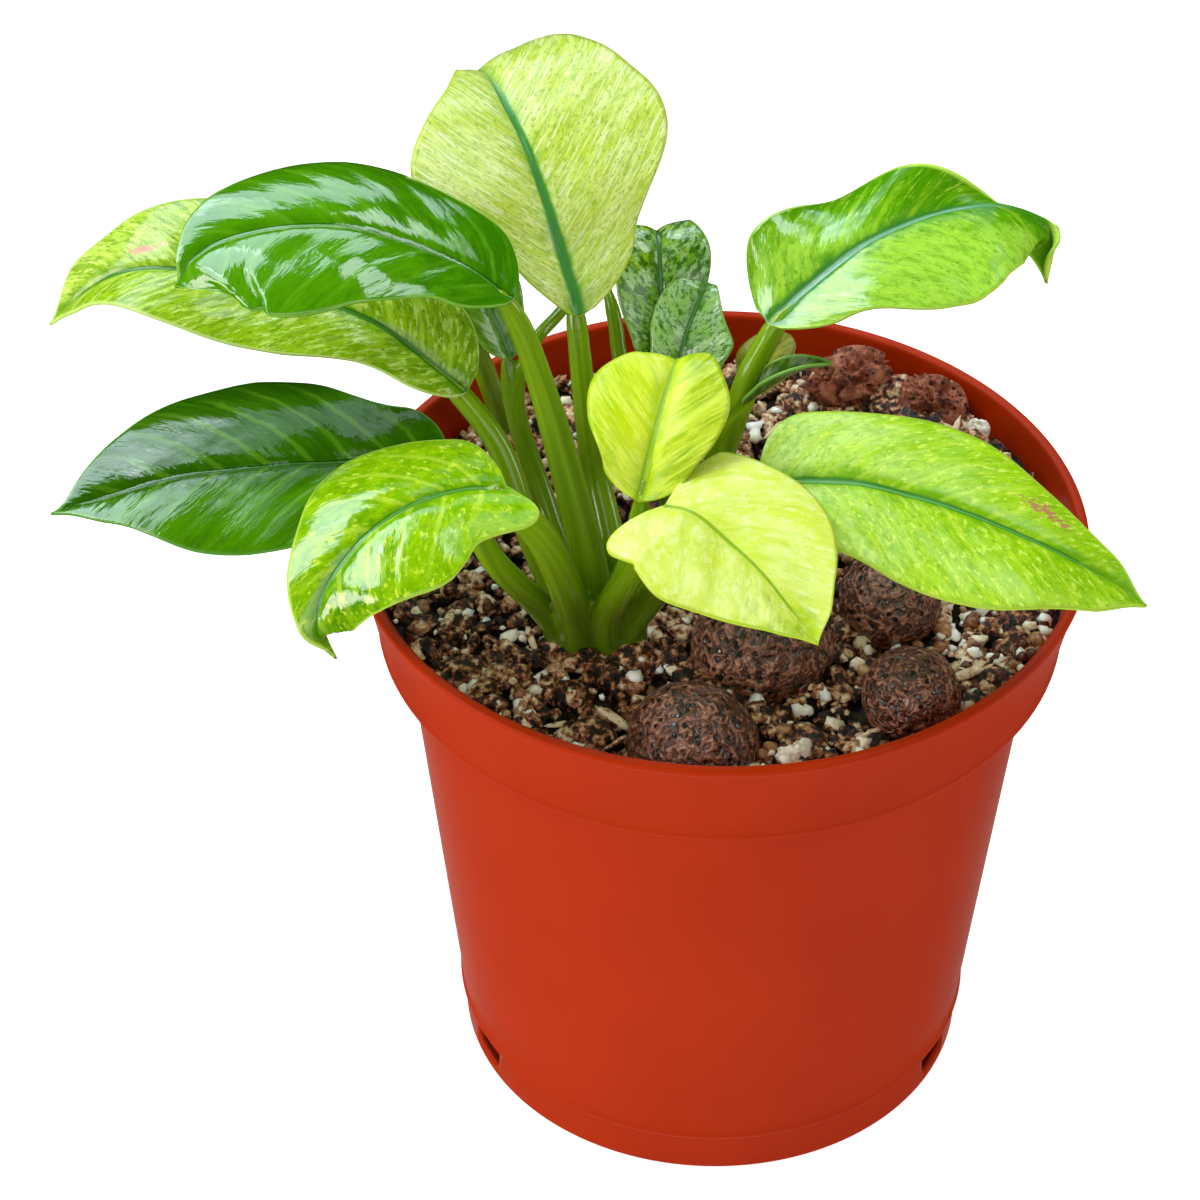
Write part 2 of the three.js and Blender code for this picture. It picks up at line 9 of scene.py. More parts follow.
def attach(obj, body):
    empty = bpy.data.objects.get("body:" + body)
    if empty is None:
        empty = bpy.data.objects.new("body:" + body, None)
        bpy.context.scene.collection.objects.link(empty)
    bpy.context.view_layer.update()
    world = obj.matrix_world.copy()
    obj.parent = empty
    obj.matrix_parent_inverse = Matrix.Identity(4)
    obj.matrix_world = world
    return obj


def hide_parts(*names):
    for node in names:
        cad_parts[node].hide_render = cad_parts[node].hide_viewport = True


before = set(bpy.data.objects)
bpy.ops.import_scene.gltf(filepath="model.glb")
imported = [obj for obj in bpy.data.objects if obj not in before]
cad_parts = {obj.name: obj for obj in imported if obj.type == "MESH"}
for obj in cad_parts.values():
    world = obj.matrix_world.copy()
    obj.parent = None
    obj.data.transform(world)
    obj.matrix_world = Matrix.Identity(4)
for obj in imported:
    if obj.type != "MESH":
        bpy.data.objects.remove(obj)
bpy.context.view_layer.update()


# ---- Camera, floor and light ----
# A product photograph: a long lens looks down on the plant at about 39 degrees, on a
# seamless white floor, under large soft boxes that leave broad pale sheens on the leaves.

camera = bpy.data.objects.new("camera", bpy.data.cameras.new("camera"))
camera.data.lens = 135.0
camera.data.sensor_width = 36.0
view_right = Vector((0.9994, 0.0360, 0.0017))
view_up = Vector((-0.0243, 0.6394, 0.7685))
view_back = Vector((0.0265, -0.7680, 0.6399))
turn = Matrix((view_right, view_up, view_back)).transposed().to_quaternion()
camera.matrix_world = Matrix.Translation((0.0, -0.5145, 0.5091)) @ turn.to_matrix().to_4x4()
bpy.context.collection.objects.link(camera)
bpy.context.scene.camera = camera


def tone(code):
    """The linear RGBA colour of an sRGB hex value."""
    parts = [int(code[i:i + 2], 16) / 255 for i in (1, 3, 5)]
    return tuple(p / 12.92 if p <= 0.04045 else ((p + 0.055) / 1.055) ** 2.4 for p in parts) + (1.0,)


def put(tree, kind, links=None, stops=None, **settings):
    """Adds a node with its settings; each entry of links is a value or another node's output."""
    node = tree.nodes.new(kind)
    for key, value in settings.items():
        setattr(node, key, value)
    for key, value in (links or {}).items():
        socket = node.inputs[key]
        if isinstance(value, bpy.types.NodeSocket):
            tree.links.new(value, socket)
        else:
            socket.default_value = value
    for i, (place, code) in enumerate(stops or []):
        mark = node.color_ramp.elements[i] if i < 2 else node.color_ramp.elements.new(place)
        mark.position = place
        mark.color = tone(code)
    return node


def fresh_finish(name):
    """An empty material and its node tree, with the surface shader in place."""
    finish = bpy.data.materials.new(name)
    finish.use_nodes = True
    shader = finish.node_tree.nodes["Principled BSDF"]
    return finish, finish.node_tree, shader


def settle(bm, name, finish, smooth=True):
    """Turns a finished bmesh into an object at the origin that wears one material."""
    mesh = bpy.data.meshes.new(name)
    for face in bm.faces:
        face.smooth = smooth
    bm.to_mesh(mesh)
    bm.free()
    mesh.materials.append(finish)
    piece = bpy.data.objects.new(name, mesh)
    bpy.context.collection.objects.link(piece)
    return piece


# Seamless white floor: a matt diffusing panel lit faintly from below, so shadows stay pale.
paper, tree, shader = fresh_finish("matt_white_sweep")
grain = put(tree, "ShaderNodeTexNoise", {"Scale": 40.0, "Detail": 3.0})
shade = put(tree, "ShaderNodeValToRGB", {"Fac": grain.outputs["Fac"]}, [(0.3, "#cbcbca"), (0.7, "#d2d2d1")])
tree.links.new(shade.outputs["Color"], shader.inputs["Base Color"])
shader.inputs["Roughness"].default_value = 0.9
shader.inputs["Emission Color"].default_value = (1.0, 1.0, 1.0, 1.0)
shader.inputs["Emission Strength"].default_value = 0.8
bm = bmesh.new()
bmesh.ops.create_grid(bm, x_segments=2, y_segments=2, size=12.0)
floor = settle(bm, "floor", paper)
floor.visible_glossy = False

world = bpy.data.worlds.new("studio")
world.use_nodes = True
world.node_tree.nodes["Background"].inputs["Color"].default_value = (1.0, 1.0, 1.0, 1.0)
world.node_tree.nodes["Background"].inputs["Strength"].default_value = 0.18
bpy.context.scene.world = world
# As through a polarising filter, gloss shows the soft boxes alone, and colours stay deep.
world.cycles_visibility.glossy = False
# The photograph's colours are plain sRGB, so the picture is shown without a film curve.
bpy.context.scene.view_settings.view_transform = "Standard"

# Soft boxes: name, bearing from the back wall toward the right and height above the
# horizon in degrees, distance, width and height in metres, radiance, colour.
SOFT_BOXES = [
    ("box_back_left", -45, 51, 1.25, 0.75, 0.62, 4.8, "#e2f6ff"),
    ("box_back", -4, 41, 1.3, 0.7, 0.45, 3.2, "#e2f6ff"),
    ("box_left", -88, 50, 1.3, 0.55, 0.75, 5.6, "#f0faff"),
    ("box_top", 46, 67, 1.3, 0.62, 0.38, 5.0, "#f0faff"),
    ("box_front", 166, 39, 1.3, 1.2, 0.65, 1.4, "#fffdf8"),
    ("box_front_left", -118, 20, 1.3, 0.6, 0.6, 6.8, "#fffaf2"),
    ("box_right", 80, 25, 1.3, 0.5, 0.7, 3.2, "#fffdf8"),
]
for name, bearing, height, distance, wide, tall, radiance, colour in SOFT_BOXES:
    lamp = bpy.data.lights.new(name, "AREA")
    lamp.shape = "RECTANGLE"
    lamp.size = wide
    lamp.size_y = tall
    lamp.energy = radiance * math.pi * wide * tall
    lamp.color = tone(colour)[:3]
    bearing, height = math.radians(bearing), math.radians(height)
    way = Vector((math.sin(bearing) * math.cos(height), math.cos(bearing) * math.cos(height), math.sin(height)))
    box = bpy.data.objects.new(name, lamp)
    aim = (-way).to_track_quat("-Z", "Y").to_matrix().to_4x4()
    box.matrix_world = Matrix.Translation(Vector((0.0, 0.0, 0.1)) + way * distance) @ aim
    bpy.context.collection.objects.link(box)


# ---- Nursery pot ----
# A 108 mm round pot, vacuum formed from thin orange-red polypropylene: a wide rim band
# over a sloped shoulder, a tapered wall, and a fine step above the slotted foot band.

MM = 0.001
POT_HEIGHT = 95.0
POT_WALL = 1.2
POT_OUTSIDE = [
    (38.5, 0.0), (38.8, 0.15), (38.9, 0.5), (38.72, 6.6), (38.76, 6.8), (39.1, 6.95), (39.6, 7.1), (39.75, 7.35),
    (39.72, 7.7), (39.55, 8.05), (39.48, 8.4), (39.85, 12.1), (39.92, 12.6), (46.86, 77.6), (46.95, 78.3), (47.15, 78.7), (47.6, 78.95),
    (49.8, 79.0), (50.5, 79.1), (50.8, 79.35), (50.86, 79.7), (50.76, 80.05), (50.62, 80.35), (53.34, 93.3), (53.44, 93.65), (53.7, 93.85),
    (53.93, 94.1), (54.0, 94.35), (53.95, 94.7), (53.75, 94.93), (53.5, 95.0), (52.75, 95.0), (52.45, 94.9),
    (52.25, 94.6),
]
POT_INSIDE = [
    (52.1, 93.9), (49.3, 80.5), (49.1, 80.1), (48.6, 79.9), (46.4, 79.7), (45.9, 79.4), (45.7, 78.6), (38.75, 12.8),
    (38.65, 12.2), (38.25, 8.4), (37.9, 7.9), (37.6, 7.4), (37.7, 1.6), (37.4, 1.5),
]

polypropylene, tree, shader = fresh_finish("vacuum_formed_polypropylene")
place = put(tree, "ShaderNodeTexCoord").outputs["Object"]
# Slow drift of the pigment, about 25 mm across, and the matt tooth of the formed sheet,
# whose fine bloom turns paler where the wall is seen at a slant.
drift = put(tree, "ShaderNodeTexNoise", {"Vector": place, "Scale": 1 / (25 * MM), "Detail": 2.0})
pigment = put(tree, "ShaderNodeValToRGB", {"Fac": drift.outputs["Fac"]}, [(0.3, "#aa2900"), (0.7, "#b12d01")])
tree.links.new(pigment.outputs["Color"], shader.inputs["Base Color"])
tooth = put(tree, "ShaderNodeTexNoise", {"Vector": place, "Scale": 1 / (0.6 * MM), "Detail": 3.0})
scuffs = put(tree, "ShaderNodeMapRange", {"Value": tooth.outputs["Fac"], "To Min": 0.3, "To Max": 0.42})
tree.links.new(scuffs.outputs["Result"], shader.inputs["Roughness"])
relief = put(tree, "ShaderNodeBump", {"Height": tooth.outputs["Fac"], "Strength": 0.12, "Distance": 0.1 * MM})
tree.links.new(relief.outputs["Normal"], shader.inputs["Normal"])
shader.inputs["IOR"].default_value = 1.49
shader.inputs["Specular IOR Level"].default_value = 0.08
shader.inputs["Sheen Weight"].default_value = 0.24
shader.inputs["Sheen Roughness"].default_value = 0.25
shader.inputs["Sheen Tint"].default_value = tone("#ffd9cc")


def turned(profile, steps):
    """A bmesh of a profile (radius and height in mm) turned about the pot's axis."""
    bm = bmesh.new()
    line = [bm.verts.new((r * MM, 0.0, z * MM)) for r, z in profile]
    edges = [bm.edges.new(pair) for pair in zip(line, line[1:])]
    bmesh.ops.spin(bm, geom=line + edges, cent=(0, 0, 0), axis=(0, 0, 1), steps=steps,
                   angle=2 * math.pi, use_merge=True)
    bmesh.ops.remove_doubles(bm, verts=bm.verts, dist=1e-6)
    bmesh.ops.recalc_face_normals(bm, faces=bm.faces)
    return bm


def baked(piece):
    """Replaces a piece's mesh by the result of its modifiers."""
    mesh = bpy.data.meshes.new_from_object(piece.evaluated_get(bpy.context.evaluated_depsgraph_get()))
    piece.modifiers.clear()
    piece.data = mesh
    return piece


bm = turned([(0.0, 0.0)] + POT_OUTSIDE + POT_INSIDE + [(0.0, 1.5)], 144)
pot = settle(bm, "nursery_pot", polypropylene)

# Drainage slots, 8 mm wide and 5 mm high, stamped through the foot band.
SLOT_ANGLES = (-63, 65, 183)
slot_tools = []
for angle in SLOT_ANGLES:
    bm = bmesh.new()
    bmesh.ops.create_cube(bm, size=1.0)
    bmesh.ops.scale(bm, vec=(8 * MM, 12 * MM, 5 * MM), verts=bm.verts)
    upright = [e for e in bm.edges if abs(e.verts[0].co.y - e.verts[1].co.y) > MM and e.verts[0].co.z < 0]
    bmesh.ops.bevel(bm, geom=upright, offset=2 * MM, segments=5, profile=0.5, affect="EDGES", material=-1)
    bmesh.ops.translate(bm, vec=(0, -34 * MM, 4.2 * MM), verts=bm.verts)
    bmesh.ops.rotate(bm, cent=(0, 0, 0), matrix=Matrix.Rotation(math.radians(angle), 3, "Z"), verts=bm.verts)
    slot_tools.append(settle(bm, "slot_tool", polypropylene))
    stamp = pot.modifiers.new("slot", "BOOLEAN")
    stamp.object = slot_tools[-1]
    stamp.solver = "EXACT"
baked(pot)
for tool in slot_tools:
    bpy.data.objects.remove(tool)
for face in pot.data.polygons:
    face.use_smooth = True
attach(pot, "root")
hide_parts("pot")


# ---- Bark mix ----
# A loose mix of dark composted bark, grit and perlite fills the pot to 9 mm below the rim
# and rises a little toward the back. Its body is one crumbly mass painted near black: partly
# the bark's own dark colour, partly painted shade for the gaps between the loose pieces.

MIX_LEVEL = 86.0
MIX_RISE = 0.04
MIX_REACH = 50.4
HEAP = (34.0, 25.0, 22.0, 4.0)


def mix_height(x, y):
    """Height of the mix in mm at a place in mm; it is heaped toward the back right."""
    heap = HEAP[3] * math.exp(-((x - HEAP[0]) ** 2 + (y - HEAP[1]) ** 2) / HEAP[2] ** 2)
    broad = math.sin(0.21 * x + 1.3) * math.cos(0.17 * y - 0.4)
    fine = math.sin(0.53 * x - 0.31 * y) * math.cos(0.47 * y + 0.22 * x + 2)
    return MIX_LEVEL + MIX_RISE * y + 0.42 * (broad + fine) + heap


humus_and_gap_shade, tree, shader = fresh_finish("composted_bark_and_gap_shade")
place = put(tree, "ShaderNodeTexCoord").outputs["Object"]
crumb = put(tree, "ShaderNodeTexVoronoi", {"Vector": place, "Scale": 1 / (1.6 * MM)})
moist = put(tree, "ShaderNodeTexNoise", {"Vector": place, "Scale": 1 / (3 * MM), "Detail": 6.0})
# near black to dark brown: the bark's own colour together with painted shade of the gaps between pieces
earth_and_gap_shade = put(tree, "ShaderNodeValToRGB", {"Fac": moist.outputs["Fac"]},
            [(0.35, "#0d0502"), (0.72, "#4a2a1a"), (0.55, "#1f0f08")])
tree.links.new(earth_and_gap_shade.outputs["Color"], shader.inputs["Base Color"])
heap = put(tree, "ShaderNodeMath", {0: crumb.outputs["Distance"], 1: moist.outputs["Fac"]}, operation="ADD")
relief = put(tree, "ShaderNodeBump", {"Height": heap.outputs[0], "Strength": 0.9, "Distance": 0.8 * MM})
tree.links.new(relief.outputs["Normal"], shader.inputs["Normal"])
shader.inputs["Roughness"].default_value = 0.75

body = [(0.0, 1.8), (37.2, 1.8), (37.2, 7.2), (38.3, 12.6), (45.2, 78.0), (48.7, 80.6)]
body += [(MIX_REACH * (1 - i / 30), MIX_LEVEL) for i in range(31)]
bm = turned(body, 110)
for vert in bm.verts:
    if vert.co.z > (MIX_LEVEL - 0.1) * MM:
        x, y = vert.co.x / MM, vert.co.y / MM
        crumbs = 1.1 * noise.noise(Vector((x, y, 0)) / 2.2) + 1.2 * noise.noise(Vector((x, y, 9)) / 5)
        vert.co.z = (mix_height(x, y) - 0.9 + crumbs) * MM
mix = settle(bm, "bark_mix", humus_and_gap_shade)
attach(mix, "root")
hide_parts("soil")


# ---- Clay balls ----
# Four balls of expanded clay, fired in a kiln: a dark brown, slightly shiny shell with
# swirled crusts and sunken pores painted near black, as painted shade inside them. They lie
# half sunk in the mix.

CLAY_BALLS = {
    "clay_ball_front": ((-3.4, -37.2, 84.5), 10.0),
    "clay_ball_middle": ((6.3, -17.8, 86.6), 10.8),
    "clay_ball_back": ((24.8, -9.9, 90.0), 7.7),
    "clay_ball_right": ((27.6, -29.9, 89.0), 7.4),
}

fired_clay, tree, shader = fresh_finish("fired_expanded_clay")
place = put(tree, "ShaderNodeTexCoord").outputs["Object"]
swirl = put(tree, "ShaderNodeTexNoise", {"Vector": place, "Scale": 1 / (1.6 * MM), "Detail": 3.0, "Distortion": 1.3})
pores = put(tree, "ShaderNodeTexVoronoi", {"Vector": place, "Scale": 1 / (1.7 * MM), "Randomness": 1.0})
shell = put(tree, "ShaderNodeValToRGB", {"Fac": swirl.outputs["Fac"]},
            [(0.36, "#2c0e05"), (0.7, "#c08468"), (0.5, "#66321c")])
pore_mask = put(tree, "ShaderNodeMapRange", {"Value": pores.outputs["Distance"], "From Min": 0.2, "From Max": 0.27})
# inside the pores the shell is painted near black: painted shade in the sunken pits
skin = put(tree, "ShaderNodeMix", {0: pore_mask.outputs["Result"], 6: tone("#0d0503"), 7: shell.outputs["Color"]},
           data_type="RGBA")
tree.links.new(skin.outputs[2], shader.inputs["Base Color"])
crust = put(tree, "ShaderNodeMath", {0: swirl.outputs["Fac"], 1: pore_mask.outputs["Result"]}, operation="MULTIPLY")
relief = put(tree, "ShaderNodeBump", {"Height": crust.outputs[0], "Strength": 1.0, "Distance": 1.2 * MM})
tree.links.new(relief.outputs["Normal"], shader.inputs["Normal"])
shader.inputs["Roughness"].default_value = 0.24
shader.inputs["Specular IOR Level"].default_value = 1.0

for name, (centre, radius) in CLAY_BALLS.items():
    bm = bmesh.new()
    bmesh.ops.create_icosphere(bm, subdivisions=6, radius=1.0)
    for vert in bm.verts:
        way = vert.co.normalized()
        seed = Vector(centre)
        lumps = 0.035 * noise.noise(way * 1.4 + seed) + 0.012 * noise.noise(way * 7 + seed)
        gap = noise.voronoi(way * radius * 0.75 + seed)[0]
        pit = 0.03 * max(0.0, 1 - gap[0] * 3.2)
        wrinkle = 0.012 * noise.ridged_multi_fractal(way * 3.2 + seed, 1.0, 2.0, 3, 1.0, 2.0)
        vert.co = Vector(centre) * MM + way * (radius * MM * (0.965 + lumps - pit + wrinkle * 0.4))
    ball = settle(bm, name + "_shell", fired_clay)
    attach(ball, "root")
    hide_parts(name)


# ---- Lava rock and perlite lumps ----
# Two broken pieces of red-brown lava rock, full of gas holes painted near black as painted
# shade, and two clusters of puffed white perlite lie on the mix near the wall.

LAVA = {
    "lava_chunk_left": ((19.5, 39.7, 92.0), (6.5, 4.5, 5.5), 20),
    "lava_chunk_right": ((31.8, 34.0, 92.0), (5.3, 4.3, 5.2), -35),
}
PERLITE = {
    "perlite_back": ((38.4, 28.0, 91.0), (2.8, 2.5, 3.4), 10),
    "perlite_front": ((11.4, -39.4, 86.8), (2.8, 2.2, 2.4), 40),
}

lava_rock, tree, shader = fresh_finish("porous_lava_rock")
place = put(tree, "ShaderNodeTexCoord").outputs["Object"]
grit = put(tree, "ShaderNodeTexNoise", {"Vector": place, "Scale": 1 / (2 * MM), "Detail": 7.0, "Roughness": 0.65})
holes = put(tree, "ShaderNodeTexVoronoi", {"Vector": place, "Scale": 1 / (1.3 * MM)})
rock = put(tree, "ShaderNodeValToRGB", {"Fac": grit.outputs["Fac"]},
           [(0.34, "#542010"), (0.7, "#e89c78"), (0.5, "#ae5a3c")])
hole_mask = put(tree, "ShaderNodeMapRange", {"Value": holes.outputs["Distance"], "From Min": 0.12, "From Max": 0.3})
# the gas holes are painted near black: painted shade inside the sunken holes
stone = put(tree, "ShaderNodeMix", {0: hole_mask.outputs["Result"], 6: tone("#200b06"), 7: rock.outputs["Color"]},
            data_type="RGBA")
tree.links.new(stone.outputs[2], shader.inputs["Base Color"])
relief = put(tree, "ShaderNodeBump", {"Height": hole_mask.outputs["Result"], "Strength": 0.9, "Distance": 0.6 * MM})
rugged = put(tree, "ShaderNodeBump", {"Height": grit.outputs["Fac"], "Normal": relief.outputs["Normal"],
                                      "Strength": 1.0, "Distance": 1.6 * MM})
tree.links.new(rugged.outputs["Normal"], shader.inputs["Normal"])
shader.inputs["Roughness"].default_value = 0.5

puffed_glass, tree, shader = fresh_finish("puffed_perlite")
place = put(tree, "ShaderNodeTexCoord").outputs["Object"]
foam = put(tree, "ShaderNodeTexNoise", {"Vector": place, "Scale": 1 / (1 * MM), "Detail": 5.0})
white = put(tree, "ShaderNodeValToRGB", {"Fac": foam.outputs["Fac"]},
            [(0.3, "#a78f78"), (0.7, "#fbf5ea"), (0.45, "#e6d8c4")])
tree.links.new(white.outputs["Color"], shader.inputs["Base Color"])
relief = put(tree, "ShaderNodeBump", {"Height": foam.outputs["Fac"], "Strength": 0.8, "Distance": 0.4 * MM})
tree.links.new(relief.outputs["Normal"], shader.inputs["Normal"])
shader.inputs["Roughness"].default_value = 0.6
shader.inputs["Subsurface Weight"].default_value = 0.15
shader.inputs["Subsurface Radius"].default_value = (0.001, 0.0009, 0.0007)


def add_lump(bm, centre, half, turn, detail, rough, seed):
    """Adds one broken lump to a bmesh; sizes in mm, turn about Z in degrees."""
    made = bmesh.ops.create_icosphere(bm, subdivisions=detail, radius=1.0)["verts"]
    spin = Matrix.Rotation(math.radians(turn), 3, "Z")
    for vert in made:
        way = vert.co.normalized()
        knock = 1 + rough * noise.noise(way * 1.7 + seed) + 0.5 * rough * noise.noise(way * 4 + seed)
        if detail > 2:
            knock += 0.3 * rough * noise.noise(way * 11 + seed)
        shape = Vector(way[i] * half[i] * min(knock, 1.12) for i in range(3))
        vert.co = (Vector(centre) + spin @ shape) * MM
    return made


for name, (centre, half, turn_z) in LAVA.items():
    bm = bmesh.new()
    add_lump(bm, centre, half, turn_z, 6, 0.5, Vector(centre))
    chunk = settle(bm, name + "_rock", lava_rock)
    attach(chunk, "root")
    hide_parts(name)

rng = random.Random(7)
for name, (centre, half, turn_z) in PERLITE.items():
    bm = bmesh.new()
    for i in range(4):
        away = [rng.uniform(-0.5, 0.5) * half[k] for k in range(3)]
        spot = [centre[k] + away[k] for k in range(3)]
        add_lump(bm, spot, [h * rng.uniform(0.5, 0.72) for h in half], 80 * i, 4, 0.3, Vector(spot))
    cluster = settle(bm, name + "_cluster", puffed_glass)
    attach(cluster, "root")
    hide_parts(name)


# ---- Loose pieces of the mix ----
# Bark chips, wood slivers, grit and small perlite lie over the whole surface in every
# direction, as they fell when the pot was filled.

bark, tree, shader = fresh_finish("pine_bark_chips")
tint = put(tree, "ShaderNodeAttribute", attribute_name="tint")
place = put(tree, "ShaderNodeTexCoord").outputs["Object"]
fibre = put(tree, "ShaderNodeTexNoise", {"Vector": place, "Scale": 1 / (1.3 * MM), "Detail": 6.0, "Roughness": 0.6})
mixed = put(tree, "ShaderNodeMath", {0: fibre.outputs["Fac"], 1: 2.5, 2: tint.outputs["Fac"]},
            operation="MULTIPLY_ADD")
wood = put(tree, "ShaderNodeValToRGB", {"Fac": mixed.outputs[0]},
           [(0.34, "#120602"), (0.92, "#ffe6c2"), (0.44, "#461e0e"), (0.56, "#8e4c2c"), (0.7, "#cc9264")])
tree.links.new(wood.outputs["Color"], shader.inputs["Base Color"])
relief = put(tree, "ShaderNodeBump", {"Height": fibre.outputs["Fac"], "Strength": 1.0, "Distance": 1.0 * MM})
tree.links.new(relief.outputs["Normal"], shader.inputs["Normal"])
shader.inputs["Roughness"].default_value = 0.3

gravel, tree, shader = fresh_finish("washed_grit")
tint = put(tree, "ShaderNodeAttribute", attribute_name="tint")
place = put(tree, "ShaderNodeTexCoord").outputs["Object"]
speck = put(tree, "ShaderNodeTexNoise", {"Vector": place, "Scale": 1 / (0.8 * MM), "Detail": 4.0})
mixed = put(tree, "ShaderNodeMath", {0: speck.outputs["Fac"], 1: 0.5, 2: tint.outputs["Fac"]},
            operation="MULTIPLY_ADD")
pebble = put(tree, "ShaderNodeValToRGB", {"Fac": mixed.outputs[0]},
             [(0.2, "#5a2a14"), (0.9, "#ffffff"), (0.4, "#a8744a"), (0.55, "#e0bc8c"), (0.7, "#fbf0d8")])
tree.links.new(pebble.outputs["Color"], shader.inputs["Base Color"])
relief = put(tree, "ShaderNodeBump", {"Height": speck.outputs["Fac"], "Strength": 0.6, "Distance": 0.3 * MM})
tree.links.new(relief.outputs["Normal"], shader.inputs["Normal"])
shader.inputs["Roughness"].default_value = 0.25

# Each kind: name, material, count, least and greatest length in mm, width and height as
# shares of the length, how high it lies on the mix in mm, the range of its tint, and the
# middle and reach in mm of the patch that it covers.
LOOSE = [
    ("bark_clumps", bark, 110, 5.0, 10.0, 0.75, 0.7, -0.6, (-0.88, -0.6), (0.0, 0.0, 50.0)),
    ("heap_clumps", bark, 46, 5.0, 10.0, 0.8, 0.75, 0.6, (-0.85, -0.55), (30.0, 27.0, 21.0)),
    ("bark_crumbs", bark, 1700, 1.4, 4.2, 0.75, 0.65, 0.3, (-0.98, -0.4), (0.0, 0.0, 50.0)),
    ("bark_chips", bark, 420, 3.2, 6.6, 0.66, 0.5, 0.4, (-0.95, -0.5), (0.0, 0.0, 50.0)),
    ("grit_crumbs", gravel, 760, 1.0, 3.6, 0.75, 0.7, 0.9, (-0.1, 0.75), (0.0, 0.0, 50.0)),
    ("grit_right", gravel, 170, 1.2, 3.6, 0.75, 0.7, 1.0, (-0.2, 0.75), (38.0, -18.0, 13.0)),
    ("wood_slivers", bark, 60, 4.5, 9.0, 0.22, 0.14, 1.3, (-0.55, -0.2), (0.0, 0.0, 50.0)),
]
KEEP_OUT = [(centre[0], centre[1], radius * 0.86) for centre, radius in CLAY_BALLS.values()]
KEEP_OUT += [(centre[0], centre[1], 0.6 * half[0]) for centre, half, _ in LAVA.values()]
KEEP_OUT += [(-17.5, -14.0, 4.6), (-4.0, 5.5, 3.0), (-33.5, 31.5, 2.0)]
HANDFUL = 30
rng = random.Random(21)
for name, finish, count, least, most, wide, high, lift, tints, (mid_x, mid_y, spread) in LOOSE:
    bm = bmesh.new()
    handful = bmesh.new()
    layer = handful.verts.layers.float.new("tint")
    placed = 0
    while placed < count:
        reach = spread * math.sqrt(rng.random())
        way = rng.uniform(0, 2 * math.pi)
        x, y = mid_x + reach * math.cos(way), mid_y + reach * math.sin(way)
        if any(math.hypot(x - cx, y - cy) < r for cx, cy, r in KEEP_OUT):
            continue
        size = least + (most - least) * rng.random() ** 1.6
        if math.hypot(x, y) + size / 2 > 51.0:
            continue
        half = Vector((size / 2, size * wide / 2, size * high / 2))
        tilt = Matrix.Rotation(rng.uniform(0, 6.3), 3, "Z") @ Matrix.Rotation(rng.gauss(0, 0.35), 3, "X")
        tilt = tilt @ Matrix.Rotation(rng.gauss(0, 0.3), 3, "Y")
        base = Vector((x, y, mix_height(x, y) + lift + rng.uniform(-0.5, 0.9)))
        shade = rng.uniform(*tints)
        made = bmesh.ops.create_uvsphere(handful, u_segments=7, v_segments=5, radius=1.0)["verts"]
        for vert in made:
            knock = 0.9 + 0.55 * noise.noise(vert.co * 1.3 + base) + rng.uniform(-0.12, 0.12)
            shape = Vector(vert.co[i] * half[i] * knock for i in range(3))
            vert.co = (base + tilt @ shape) * MM
            vert[layer] = shade
        placed += 1
        # a bmesh slows down as it fills, so the pieces are dropped in by the handful
        if placed % HANDFUL == 0 or placed == count:
            scoop = bpy.data.meshes.new("scoop")
            handful.to_mesh(scoop)
            handful.free()
            bm.from_mesh(scoop)
            bpy.data.meshes.remove(scoop)
            handful = bmesh.new()
            layer = handful.verts.layers.float.new("tint")
    handful.free()
    pieces = settle(bm, name, finish)
    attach(pieces, "root")


# ---- Leaf blades ----
# Living aroid leaves: thin, leathery and glossy, arched along the midrib and folded up
# beside it, with a sunk midrib, curved side veins and a fine pale margin.

